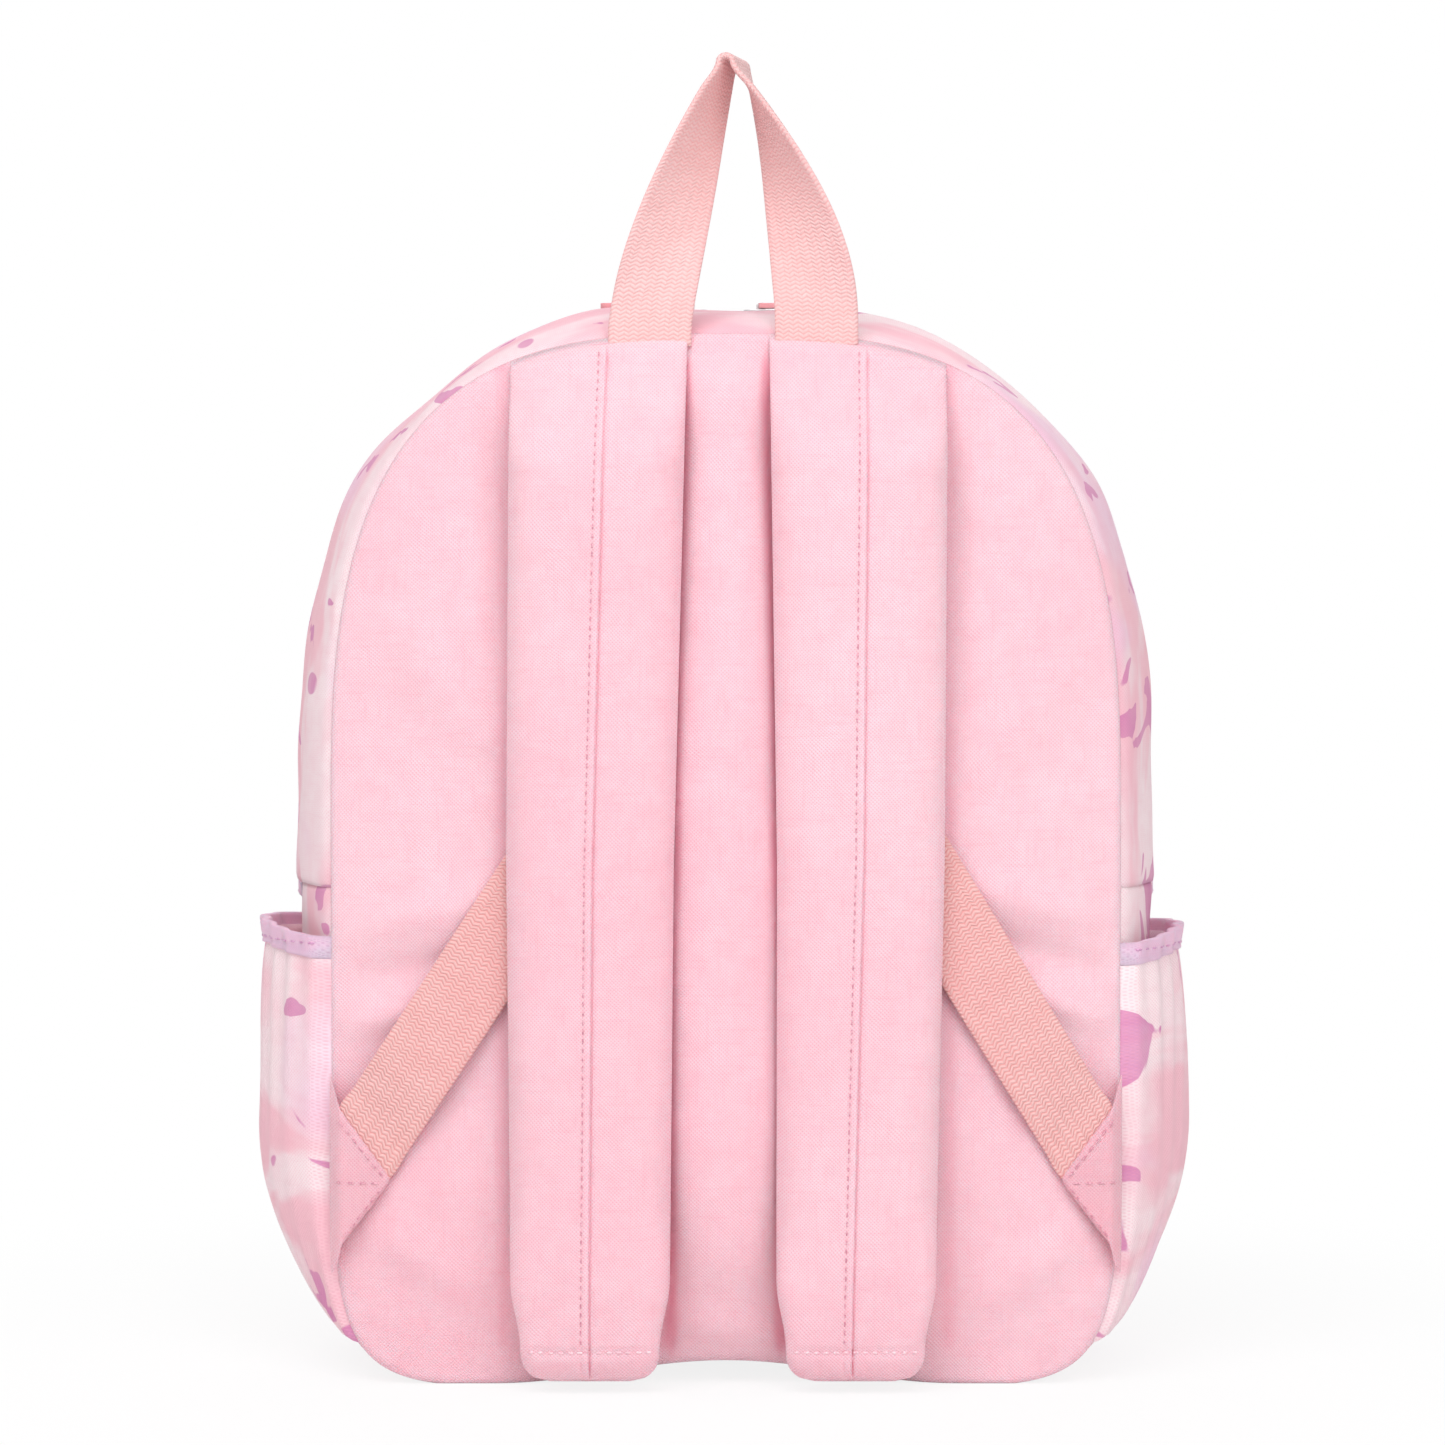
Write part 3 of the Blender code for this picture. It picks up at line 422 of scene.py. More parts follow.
def face_out(piece: Piece) -> Piece:
    """Turn the faces of a closed piece outwards."""
    with editing(piece, True):
        bpy.ops.mesh.normals_make_consistent(inside=False)
    return piece


def finish_with(piece: Piece, kind: str, **settings: object) -> Piece:
    """Add a modifier and apply it.

    Args:
        piece: The object.
        kind: Blender's name for the kind of modifier.
        settings: The modifier's values.

    Returns:
        The same object.
    """
    pick_only(piece)
    step = piece.modifiers.new(kind.lower(), kind)
    for name, value in settings.items():
        setattr(step, name, value)
    bpy.ops.object.modifier_apply(modifier=step.name)
    return piece


def wall(piece: Piece, thickness: float, lined: bool = True) -> Piece:
    """Give an open cloth its thickness on the inside, with its lining as the second finish."""
    return finish_with(
        piece, "SOLIDIFY", thickness=thickness, offset=-1.0, use_even_offset=False,
        material_offset=1 if lined else 0, material_offset_rim=0,
    )


def cut_cloth(
    name: str, points: Array, flat: Array, away_from: Point, thickness: float, lined: bool = True
) -> Piece:
    """A cloth from one patch.

    Args:
        name: The piece's name.
        points: Rows of points on its outer face.
        flat: The flat place of each point.
        away_from: A point that it faces away from.
        thickness: Its thickness.
        lined: Whether its inner face takes a second finish.

    Returns:
        The piece.
    """
    pattern = Pattern()
    pattern.patch(points, flat)
    return wall(pattern.sew(name, away_from), thickness, lined)


def soften(piece: Piece, degrees: float = 35.0) -> Piece:
    """Shade smooth, apart from edges sharper than an angle."""
    pick_only(piece)
    bpy.ops.object.shade_smooth_by_angle(angle=math.radians(degrees))
    return piece


# Forms that pieces share


LOCK_X = 0.0415
LOCK_Y = -0.0678
LOCK_BAR_Z = 0.0165


@dataclass
class Arch:
    """The closed outline that the back panel, the gusset and the front panel share, in the XZ plane."""

    half_width: float = 0.119
    height: float = 0.318
    spring: float = 0.170
    top_power: float = 3.0
    base_power: float = 9.0
    foot_flat: float = 0.0012
    foot_inner: float = 0.070
    base_rise: float = 0.007
    centre_z: float = 0.160
    dense: int = 1440

    def __post_init__(self) -> None:
        """Work the outline out once, evenly spaced from the middle of its base."""
        turn = np.linspace(-math.pi / 2, 1.5 * math.pi, self.dense + 1)
        across, up = np.cos(turn), np.sin(turn)
        power = np.where(up >= 0, self.top_power, self.base_power)
        rise = np.where(up >= 0, self.height - self.spring, self.spring)
        x = self.half_width * np.sign(across) * np.abs(across) ** (2 / power)
        z = self.spring + rise * np.sign(up) * np.abs(up) ** (2 / power)
        along = np.concatenate([[0.0], np.cumsum(np.hypot(np.diff(x), np.diff(z)))])
        place = np.linspace(0.0, along[-1], self.dense + 1)
        x, z = np.interp(place, along, x), np.interp(place, along, z)
        low = z < self.foot_flat + self.base_rise
        z = np.where(low, np.maximum(z, self.foot_flat), z) - self.foot_flat
        inner = low & (np.abs(x) < self.foot_inner)
        z = z + np.where(inner, self.base_rise * np.cos(math.pi * x / (2 * self.foot_inner)) ** 2, 0.0)
        self.x, self.z, self.s = x, z, np.linspace(0.0, 1.0, len(x))
        dx, dz = np.gradient(x), np.gradient(z)
        self.length = float(np.hypot(np.diff(x), np.diff(z)).sum())
        self.nx, self.nz = dz / np.hypot(dx, dz), -dx / np.hypot(dx, dz)
        edge = np.arctan2(x[:-1], z[:-1] - self.centre_z)
        order = np.argsort(edge)
        self.edge_turn = edge[order]
        self.edge_radius = np.hypot(x[:-1], z[:-1] - self.centre_z)[order]

    def at(self, s: Array) -> tuple[Array, Array, Array, Array]:
        """The point and the outward normal at shares of the length: x, z, nx and nz."""
        held = np.asarray(s, float) % 1.0
        return tuple(np.interp(held, self.s, row) for row in (self.x, self.z, self.nx, self.nz))

    def share_at(self, z: Array | float, side: Side = Side.RIGHT) -> Array:
        """The share of the length at which a side reaches a height."""
        half = self.dense // 2
        rising = slice(half // 6, half)
        share = np.interp(z, self.z[rising], self.s[rising])
        return share if side is Side.RIGHT else 1.0 - share

    def over(self, x: Array | float, rows: Array) -> Array:
        """The value, in rows along the outline, at which the top passes over x."""
        half = self.dense // 2
        top = slice(half - half // 4, half + half // 4)
        return np.interp(-x, -self.x[top], rows[top])

    def reach(self, x: Array, z: Array) -> Array:
        """How far a point lies from the panel's centre towards the outline, from 0 to 1."""
        turn = np.arctan2(x, z - self.centre_z)
        radius = np.interp(turn, self.edge_turn, self.edge_radius, period=2 * math.pi)
        return np.hypot(x, z - self.centre_z) / radius

    def rings(self, shares: Array, inset: float, count: int) -> tuple[Array, Array]:
        """Rings of points from the centre out to the outline drawn in by an inset: x and z."""
        x, z, nx, nz = self.at(np.arange(count) / count)
        x, z = x - nx * inset, z - nz * inset
        return shares[:, None] * x[None], self.centre_z + shares[:, None] * (z - self.centre_z)[None]

    def rolled(self, first: float, rings: int, count: int, roll: float) -> tuple[Array, Array, Array, Array]:
        """The rings of a panel whose edge is rolled in, closer together towards the outline.

        Args:
            first: The share at which the inmost ring lies.
            rings: How many rings.
            count: Points on each ring.
            roll: How wide the rolled edge is.

        Returns:
            x, z, how deep in the rolled edge each point lies, and its share of the drop there.
        """
        shares = 1.0 - (1.0 - np.linspace(first, 1.0, rings)) ** 1.5
        x, z = self.rings(shares, 0.0, count)
        return x, z, *roll_in(shares, np.hypot(x[-1], z[-1] - self.centre_z), roll)


@dataclass
class BagForm:
    """The depth of the bag and the swelling of its panels."""

    arch: Arch = field(default_factory=Arch)
    rear: float = -0.0555
    depth: float = 0.100
    side_bulge: float = 0.013
    top_bulge: float = 0.008
    bulge_power: float = 0.75
    corner_draw: float = 0.42
    foot_draw: float = 0.50
    foot_height: float = 0.060
    cloth: float = 0.0014
    back_crown: float = 0.009
    front_crown: float = 0.008
    crown_power: float = 3.5
    fold_z: float = 0.150
    zip_y: float = 0.0065
    tape_width: float = 0.0075
    chain_gap: float = 0.0024
    seam_width: float = 0.0021
    seam_sunk: float = 0.0014
    pucker_length: float = 0.0125
    pucker_height: float = 0.00022
    pucker_fade: float = 0.007

    @property
    def front(self) -> float:
        """Where the front seam lies."""
        return self.rear + self.depth

    @property
    def middle(self) -> float:
        """Half way between the back and the front."""
        return self.rear + self.depth / 2

    @property
    def zip_start(self) -> float:
        """The share of the outline's length at which the main zip starts, at the fold."""
        return float(self.arch.share_at(self.fold_z))

    def across(self, y: Array) -> Array:
        """How far across the gusset a depth lies, from 0 to 1."""
        return np.clip((y - self.rear) / self.depth, 0.0, 1.0)

    def crown(self, x: Array, z: Array, height: float) -> Array:
        """How far a domed panel stands out at a point."""
        return height * (1.0 - np.minimum(1.0, self.arch.reach(x, z)) ** self.crown_power)

    def back_face(self, x: Array, z: Array) -> Array:
        """The outer face of the back panel."""
        return self.rear - self.cloth - self.crown(x, z, self.back_crown)

    def front_face(self, x: Array, z: Array) -> Array:
        """The outer face of the front panel."""
        return self.front + self.cloth + self.crown(x, z, self.front_crown)

    def gusset(self, s: Array, y: Array, offset: Array | float = 0.0) -> Array:
        """Points on the gusset's outer face, or that far outside it."""
        x, z, nx, nz = self.arch.at(s)
        bulge = self.side_bulge * nx**2 + self.top_bulge * np.maximum(nz, 0.0) ** 2
        swell = bulge * arc(self.across(y)) ** self.bulge_power
        swell = swell * (1.0 - self.corner_draw * (4.0 * nx**2 * nz**2) ** 2)
        swell = swell * mix(self.foot_draw, 1.0, ease(z / self.foot_height)) + offset
        return joined(x + nx * swell, y, z + nz * swell)

    def gusset_relief(self, s: Array, y: Array, seed: int) -> Array:
        """Rolled seams, puckers and soft waves of the sewn gusset.

        Args:
            s: Shares of the arch's length.
            y: Depths.
            seed: Which set of waves.

        Returns:
            How far the cloth stands off its plain form.
        """
        along = s * self.arch.length
        roll = bell(y - self.rear, self.seam_width) + bell(y - self.front, self.seam_width)
        near = np.minimum(np.abs(y - self.rear), np.abs(self.front - y))
        drift = 2.2 * ripple(along, y, 0.05, seed)
        pucker = np.sin(2 * math.pi * along / self.pucker_length + drift) * np.exp(-near / self.pucker_fade)
        room = arc(self.across(y))
        waves = ripple(along, 0.35 * y, 0.085, seed + 1) * 0.0013 + ripple(along, y, 0.034, seed + 2) * 0.0004
        return -self.seam_sunk * roll + self.pucker_height * pucker + waves * room


# Finishes


def linear(red: int, green: int, blue: int) -> tuple[float, float, float, float]:
    """A colour as light, from the numbers that a picture of it would hold."""
    parts = [c / 255 for c in (red, green, blue)]
    return (*[c / 12.92 if c <= 0.04045 else ((c + 0.055) / 1.055) ** 2.4 for c in parts], 1.0)


class Wiring:
    """Adds and joins the nodes of one tree."""

    def __init__(self, tree: Tree) -> None:
        """Work on a tree."""
        self.tree = tree

    def node(self, kind: str, **settings: object) -> Node:
        """A new node with its settings."""
        made = self.tree.nodes.new(kind)
        for name, value in settings.items():
            setattr(made, name, value)
        return made

    def feed(self, socket: Socket, value: object) -> None:
        """Join an output to a socket, or set the socket's own value."""
        if isinstance(value, Socket):
            self.tree.links.new(value, socket)
        else:
            socket.default_value = value

    def fill(self, node: Node, **inputs: object) -> Node:
        """Join or set inputs of a node by their names, in which underscores stand for spaces."""
        for name, value in inputs.items():
            self.feed(node.inputs[name.replace("_", " ")], value)
        return node

    def math(self, operation: str, *values: object) -> Socket:
        """The result of a sum."""
        made = self.node("ShaderNodeMath", operation=operation)
        for socket, value in zip(made.inputs, values):
            self.feed(socket, value)
        return made.outputs[0]

    def step(
        self, value: object, low: float, high: float, start: float = 0.0, end: float = 1.0
    ) -> Socket:
        """A value that goes smoothly from start to end between two levels."""
        made = self.node("ShaderNodeMapRange", interpolation_type="SMOOTHSTEP")
        for socket, given in zip(made.inputs, (value, low, high, start, end)):
            self.feed(socket, given)
        return made.outputs[0]

    def blend(self, share: object, first: object, second: object, way: str = "MIX") -> Socket:
        """A colour between two others."""
        made = self.node("ShaderNodeMix", data_type="RGBA", blend_type=way)
        for socket, value in zip((made.inputs[0], made.inputs[6], made.inputs[7]), (share, first, second)):
            self.feed(socket, value)
        return made.outputs[2]

    def noise(
        self, place: object, scale: float, detail: float = 2.0, distortion: float = 0.0,
        stretch: Point = (1.0, 1.0, 1.0), shift: Point = (0.0, 0.0, 0.0),
    ) -> Socket:
        """Cloudy values over a place."""
        mapped = self.fill(self.node("ShaderNodeMapping"), Vector=place, Location=shift, Scale=stretch)
        made = self.node("ShaderNodeTexNoise")
        self.fill(made, Vector=mapped.outputs[0], Scale=scale, Detail=detail, Distortion=distortion)
        return made.outputs["Fac"]

    def group(self, tree: Tree, **inputs: object) -> Node:
        """A placed group with its inputs."""
        return self.fill(self.node("ShaderNodeGroup", node_tree=tree), **inputs)


class Effects:
    """Node groups for what more than one finish shows."""

    @staticmethod
    def start(
        name: str, inputs: dict[str, str], outputs: dict[str, str]
    ) -> tuple[Wiring, Node, Node]:
        """A new group with its sockets, given as names and kinds."""
        tree = bpy.data.node_groups.new(name, "ShaderNodeTree")
        for way, sockets in (("INPUT", inputs), ("OUTPUT", outputs)):
            for label, kind in sockets.items():
                tree.interface.new_socket(name=label, in_out=way, socket_type=f"NodeSocket{kind}")
        wiring = Wiring(tree)
        return wiring, wiring.node("NodeGroupInput"), wiring.node("NodeGroupOutput")

    @classmethod
    @cache
    def fine_weave(cls) -> Tree:
        """Crossing yarns of a close plain weave: its height, and the hollows between yarns."""
        w, given, out = cls.start(
            "fine weave",
            {"Place": "Vector", "Pitch": "Float"},
            {"Height": "Float", "Hollow": "Float", "Streak": "Float"},
        )
        place, pitch = given.outputs["Place"], given.outputs["Pitch"]
        parts = w.node("ShaderNodeSeparateXYZ")
        w.feed(parts.inputs[0], place)
        drift = w.math("MULTIPLY", w.math("SUBTRACT", w.noise(place, 70.0, 1.0), 0.5), 1.6)
        waves = []
        for axis in (0, 1):
            turns = w.math("ADD", w.math("DIVIDE", parts.outputs[axis], pitch), drift)
            waves.append(w.math("SINE", w.math("MULTIPLY", turns, 2 * math.pi)))
        cross = w.math("MULTIPLY", *waves)
        slub = w.math("SUBTRACT", w.noise(place, 420.0, 2.0, stretch=(1.0, 0.22, 1.0)), 0.5)
        height = w.math("ADD", w.math("MULTIPLY_ADD", cross, 0.42, 0.5), w.math("MULTIPLY", slub, 0.5))
        w.feed(out.inputs["Height"], height)
        w.feed(out.inputs["Hollow"], w.step(cross, 0.10, -0.85))
        upright = w.noise(place, 760.0, 1.0, stretch=(1.0, 0.10, 1.0))
        level = w.noise(place, 760.0, 1.0, stretch=(0.10, 1.0, 1.0), shift=(2.3, 4.1, 0.0))
        w.feed(out.inputs["Streak"], w.step(w.math("MAXIMUM", upright, level), 0.52, 0.74))
        return w.tree

    @classmethod
    @cache
    def webbing_weave(cls) -> Tree:
        """Slanting ribs of thick yarn in columns, as in carrying webbing: its height and its pores."""
        w, given, out = cls.start(
            "webbing weave", {"Place": "Vector", "Pitch": "Float"}, {"Height": "Float", "Pore": "Float"}
        )
        place, pitch = given.outputs["Place"], given.outputs["Pitch"]
        parts = w.node("ShaderNodeSeparateXYZ")
        w.feed(parts.inputs[0], place)
        drift = w.math("MULTIPLY", w.math("SUBTRACT", w.noise(place, 160.0, 1.0), 0.5), 0.7)
        column = w.math("ADD", w.math("DIVIDE", parts.outputs[0], w.math("MULTIPLY", pitch, 1.15)), drift)
        zigzag = w.math("PINGPONG", column, 1.0)
        row = w.math("ADD", w.math("DIVIDE", parts.outputs[1], pitch), w.math("MULTIPLY", zigzag, 0.62))
        row = w.math("ADD", row, drift)
        ribs = w.math("MULTIPLY_ADD", w.math("SINE", w.math("MULTIPLY", row, 2 * math.pi)), 0.5, 0.5)
        edge = w.math("ABSOLUTE", w.math("SINE", w.math("MULTIPLY", column, math.pi)))
        body = w.math("MULTIPLY_ADD", w.math("POWER", edge, 0.6), 0.65, 0.35)
        height = w.math("MULTIPLY", w.math("POWER", ribs, 0.7), body)
        w.feed(out.inputs["Height"], height)
        w.feed(out.inputs["Pore"], w.step(height, 0.46, 0.06))
        return w.tree

    @classmethod
    @cache
    def cloth_tone(cls) -> Tree:
        """The uneven colour of dyed cloth, with painted shade darkening its tucks, and paler on proud edges
        as wear.
        """
        w, given, out = cls.start(
            "cloth tone",
            {"Place": "Vector", "Colour": "Color", "Deep": "Color", "Rub": "Float"},
            {"Colour": "Color", "Dull": "Float"},
        )
        place = given.outputs["Place"]
        broad = w.step(w.noise(place, 9.0, 2.0, 0.4), 0.30, 0.75)
        small = w.step(w.noise(place, 130.0, 3.0), 0.25, 0.80)
        deep = w.math("MULTIPLY_ADD", broad, 0.16, w.math("MULTIPLY", small, 0.14))
        # Painted shade: tucked points, and points lowered where shade is painted, are mixed towards the deep
        # colour.
        tuck = w.step(given.outputs["Rub"], 0.47, 0.22, 0.0, 0.85)
        worn = w.step(given.outputs["Rub"], 0.58, 0.95, 0.0, 0.30)
        colour = w.blend(w.math("MAXIMUM", deep, tuck), given.outputs["Colour"], given.outputs["Deep"])
        w.feed(out.inputs["Colour"], w.blend(worn, colour, (1.0, 0.93, 0.93, 1.0)))
        w.feed(out.inputs["Dull"], w.math("MULTIPLY_ADD", small, 0.10, 0.80))
        return w.tree

    @classmethod
    @cache
    def cloud_print(cls) -> Tree:
        """A washed ground with soft clouds, and loose blots and dabs of a darker ink."""
        w, given, out = cls.start(
            "cloud print",
            {"Place": "Vector", "Ground": "Color", "Wash": "Color", "Haze": "Color", "Ink": "Color"},
            {"Colour": "Color"},
        )
        place = given.outputs["Place"]
        wash = w.step(w.noise(place, 26.0, 3.0, 0.8, stretch=(0.55, 1.2, 1.0)), 0.44, 0.62, 0.0, 0.85)
        haze = w.step(w.noise(place, 17.0, 2.0, 0.5, shift=(3.1, 1.7, 0.0)), 0.52, 0.70, 0.0, 0.75)
        colour = w.blend(wash, given.outputs["Ground"], given.outputs["Wash"])
        colour = w.blend(haze, colour, given.outputs["Haze"])
        spill = w.noise(place, 34.0, 2.6, 0.9, stretch=(1.0, 0.8, 1.0), shift=(7.3, 2.9, 0.0))
        blot = w.step(spill, 0.588, 0.600)
        turned = w.node("ShaderNodeMapping")
        w.fill(turned, Vector=place, Rotation=(0.0, 0.0, 0.6), Scale=(1.5, 0.8, 1.0))
        dab = w.node("ShaderNodeTexVoronoi", feature="SMOOTH_F1")
        w.fill(dab, Vector=turned.outputs[0], Scale=36.0, Smoothness=0.15)
        sparse = w.step(w.noise(place, 15.0, 1.0, 0.0, shift=(1.3, 9.2, 0.0)), 0.56, 0.60)
        dabs = w.math("MULTIPLY", w.step(dab.outputs["Distance"], 0.20, 0.17), sparse)
        ink = w.math("MAXIMUM", blot, dabs)
        uneven = w.step(w.noise(place, 75.0, 3.0, 0.3), 0.25, 0.85, 0.72, 1.0)
        w.feed(out.inputs["Colour"], w.blend(w.math("MULTIPLY", ink, uneven), colour, given.outputs["Ink"]))
        return w.tree

    @classmethod
    @cache
    def handled(cls) -> Tree:
        """Fine scuffs and finger marks on hard pieces: a roughness and a scratch height."""
        w, given, out = cls.start(
            "handled",
            {"Place": "Vector", "Low": "Float", "High": "Float"},
            {"Roughness": "Float", "Scratch": "Float"},
        )
        place = given.outputs["Place"]
        smear = w.noise(place, 160.0, 4.0, 0.6)
        scratch = w.noise(place, 900.0, 2.0, 0.0, stretch=(1.0, 0.08, 0.4))
        share = w.math("MULTIPLY_ADD", smear, 0.7, w.math("MULTIPLY", scratch, 0.3))
        spread = w.math("SUBTRACT", given.outputs["High"], given.outputs["Low"])
        w.feed(out.inputs["Roughness"], w.math("MULTIPLY_ADD", share, spread, given.outputs["Low"]))
        w.feed(out.inputs["Scratch"], scratch)
        return w.tree


@dataclass(frozen=True)
class Finish:
    """What every finish has: its name, the record's material slot that it stands for, and two shades."""

    name: str
    slot: str
    colour: Colour
    deep: Colour

    def material(self) -> bpy.types.Material:
        """The Blender material, made the first time that it is asked for."""
        label = self.name.replace(" ", "_") + "_finish"
        if label in bpy.data.materials:
            return bpy.data.materials[label]
        made = bpy.data.materials.new(label)
        made.use_nodes = True
        self.dress(Wiring(made.node_tree), made.node_tree.nodes["Principled BSDF"])
        return made

    def dress(self, w: Wiring, shader: Node) -> None:
        """Wire the shader's inputs; each kind of finish does this its own way."""
        raise NotImplementedError

    @staticmethod
    def bump(w: Wiring, shader: Node, height: object, distance: float, strength: float) -> None:
        """Feed a height to the shader's normal."""
        made = w.fill(w.node("ShaderNodeBump"), Distance=distance, Strength=strength, Height=height)
        w.feed(shader.inputs["Normal"], made.outputs["Normal"])

    @staticmethod
    def flat_place(w: Wiring) -> Socket:
        """The flat place on the cloth, from the piece's own UV map."""
        return w.node("ShaderNodeUVMap", uv_map="flat").outputs["UV"]

    @staticmethod
    def rub(w: Wiring) -> Socket:
        """How far a place stands proud or lies in a tuck, from the piece's own attribute, lowered further
        where shade is painted.
        """
        return w.node("ShaderNodeAttribute", attribute_name="rub").outputs["Fac"]

    def dye(self, w: Wiring, place: object, colour: object) -> Node:
        """The uneven dyed look over a colour, with painted shade in tucks."""
        deep, rub = linear(*self.deep), self.rub(w)
        return w.group(Effects.cloth_tone(), Place=place, Colour=colour, Deep=deep, Rub=rub)

    def shades(self, w: Wiring, share: object) -> Socket:
        """A colour between the finish's two shades."""
        return w.blend(share, linear(*self.colour), linear(*self.deep))


@dataclass(frozen=True)
class ClothFinish(Finish):
    """A dyed cloth of close weave."""

    pitch: float = 0.0011
    relief: float = 0.00022
    sheen: float = 0.20
    glow: float = 0.35
    hollows: float = 0.52
    streaks: float = 0.09

    def ground(self, w: Wiring, place: object) -> object:
        """The colour of the yarns."""
        return linear(*self.colour)

    def dress(self, w: Wiring, shader: Node) -> None:
        """Dyed colour with painted shade in its tucks, yarns and a soft sheen."""
        place = self.flat_place(w)
        weave = w.group(Effects.fine_weave(), Place=place, Pitch=self.pitch)
        tone = self.dye(w, place, self.ground(w, place))
        between = w.math("MULTIPLY", weave.outputs["Hollow"], self.hollows)
        between = w.math("MULTIPLY_ADD", weave.outputs["Streak"], self.streaks, between)
        colour = w.blend(between, tone.outputs["Colour"], linear(*self.deep))
        w.fill(shader, Base_Color=colour, Roughness=tone.outputs["Dull"])
        w.fill(shader, Sheen_Weight=self.sheen, Sheen_Roughness=0.45, Specular_IOR_Level=0.22)
        if self.glow:
            w.fill(shader, Subsurface_Weight=self.glow, Subsurface_Scale=0.005)
            w.fill(shader, Subsurface_Radius=(1.0, 0.35, 0.40))
        self.bump(w, shader, weave.outputs["Height"], self.relief, 0.75)


@dataclass(frozen=True)
class PrintFinish(ClothFinish):
    """A pale cloth printed with clouds, blots and dabs."""

    wash: Colour = (250, 192, 204)
    haze: Colour = (244, 208, 231)
    ink: Colour = (210, 120, 178)

    def ground(self, w: Wiring, place: object) -> object:
        """The print."""
        inks = {"Wash": self.wash, "Haze": self.haze, "Ink": self.ink, "Ground": self.colour}
        colours = {name: linear(*colour) for name, colour in inks.items()}
        return w.group(Effects.cloud_print(), Place=place, **colours).outputs["Colour"]


@dataclass(frozen=True)
class WebbingFinish(Finish):
    """Carrying webbing of thick slanting ribs, with dark pores between them."""

    pitch: float = 0.0013
    pores: float = 0.62
    relief: float = 0.00042

    def dress(self, w: Wiring, shader: Node) -> None:
        """Ribs, pores and the yarns' own fuzz."""
        place = self.flat_place(w)
        weave = w.group(Effects.webbing_weave(), Place=place, Pitch=self.pitch)
        tone = self.dye(w, place, linear(*self.colour))
        pore = w.math("MULTIPLY", weave.outputs["Pore"], self.pores)
        colour = w.blend(pore, tone.outputs["Colour"], linear(*self.deep))
        w.fill(shader, Base_Color=colour, Roughness=tone.outputs["Dull"])
        w.fill(shader, Sheen_Weight=0.18, Specular_IOR_Level=0.25)
        fuzz = w.math("MULTIPLY_ADD", w.noise(place, 2600.0, 2.0), 0.18, weave.outputs["Height"])
        self.bump(w, shader, fuzz, self.relief, 0.85)


@dataclass(frozen=True)
class ThreadFinish(Finish):
    """Twisted sewing thread."""

    def dress(self, w: Wiring, shader: Node) -> None:
        """A slight gloss and a twist that darkens the thread in bands."""
        place = w.node("ShaderNodeTexCoord").outputs["Object"]
        bands = w.step(w.noise(place, 1500.0, 2.0), 0.35, 0.65)
        colour = w.blend(bands, linear(*self.deep), linear(*self.colour))
        w.fill(shader, Base_Color=colour, Roughness=0.55, Sheen_Weight=0.2)
        self.bump(w, shader, bands, 0.00005, 0.6)


@dataclass(frozen=True)
class PlasticFinish(Finish):
    """Moulded plastic with a fine matt grain and rubbed edges."""

    worn: Colour = (255, 226, 222)

    def dress(self, w: Wiring, shader: Node) -> None:
        """Uneven gloss, grain, and a paler edge where it rubs."""
        place = w.node("ShaderNodeTexCoord").outputs["Object"]
        marks = w.group(Effects.handled(), Place=place, Low=0.32, High=0.60)
        colour = self.shades(w, w.step(w.noise(place, 60.0, 3.0), 0.3, 0.75, 0.0, 0.55))
        colour = w.blend(w.step(self.rub(w), 0.58, 0.90, 0.0, 0.4), colour, linear(*self.worn))
        w.fill(shader, Base_Color=colour, Roughness=marks.outputs["Roughness"])
        grain = w.math("MULTIPLY_ADD", w.noise(place, 3200.0, 2.0), 0.6, marks.outputs["Scratch"])
        self.bump(w, shader, grain, 0.00004, 0.5)


@dataclass(frozen=True)
class MetalFinish(Finish):
    """Plated die-cast metal with fine scuffs."""

    def dress(self, w: Wiring, shader: Node) -> None:
        """Plating that dulls in its hollows."""
        place = w.node("ShaderNodeTexCoord").outputs["Object"]
        marks = w.group(Effects.handled(), Place=place, Low=0.20, High=0.42)
        colour = self.shades(w, w.step(self.rub(w), 0.45, 0.15, 0.0, 0.8))
        w.fill(shader, Base_Color=colour, Metallic=1.0, Roughness=marks.outputs["Roughness"])
        self.bump(w, shader, marks.outputs["Scratch"], 0.00003, 0.4)


PINK_CLOTH = ClothFinish("pink cloth", "pink_cloth", (245, 211, 220), (236, 149, 169))
TAB_CLOTH = ClothFinish("tab cloth", "pink_cloth", (238, 194, 204), (226, 142, 160))
LINING = ClothFinish(
    "lilac lining", "lilac_tape", (236, 205, 226), (214, 168, 200), pitch=0.0006, relief=0.00006
)
LILAC_TAPE = ClothFinish("lilac binding", "lilac_tape", (243, 205, 226), (222, 165, 200), pitch=0.0007)
ZIP_CLOTH = ClothFinish("zip tape", "zip_tape", (240, 182, 206), (216, 140, 172), relief=0.00018)
CLOUD_PRINT = PrintFinish(
    "printed cloth", "printed_cloth", (253, 235, 238), (236, 160, 182),
    relief=0.00020, sheen=0.15, glow=0.0, hollows=0.30, streaks=0.06,
)
WEBBING = WebbingFinish("salmon webbing", "salmon_webbing", (245, 197, 195), (231, 138, 136))
HANDLE_WEBBING = WebbingFinish(
    "handle webbing", "salmon_webbing", (242, 204, 203), (235, 156, 156), pores=0.55, relief=0.00026
)
PINK_THREAD = ThreadFinish("pink thread", "pink_cloth", (252, 226, 232), (240, 184, 198))
ROSE_THREAD = ThreadFinish("rose thread", "pink_cloth", (236, 180, 194), (206, 132, 152))
LILAC_THREAD = ThreadFinish("lilac thread", "lilac_tape", (228, 176, 212), (196, 130, 176))
COIL_PLASTIC = PlasticFinish("zip coil", "zip_tape", (242, 188, 210), (222, 148, 182))
PINK_PLASTIC = PlasticFinish("pink plastic", "pink_plastic", (244, 172, 176), (226, 138, 148))
NICKEL = MetalFinish("nickel", "nickel_metal", (206, 204, 206), (120, 116, 120))


# Handing pieces to the frame


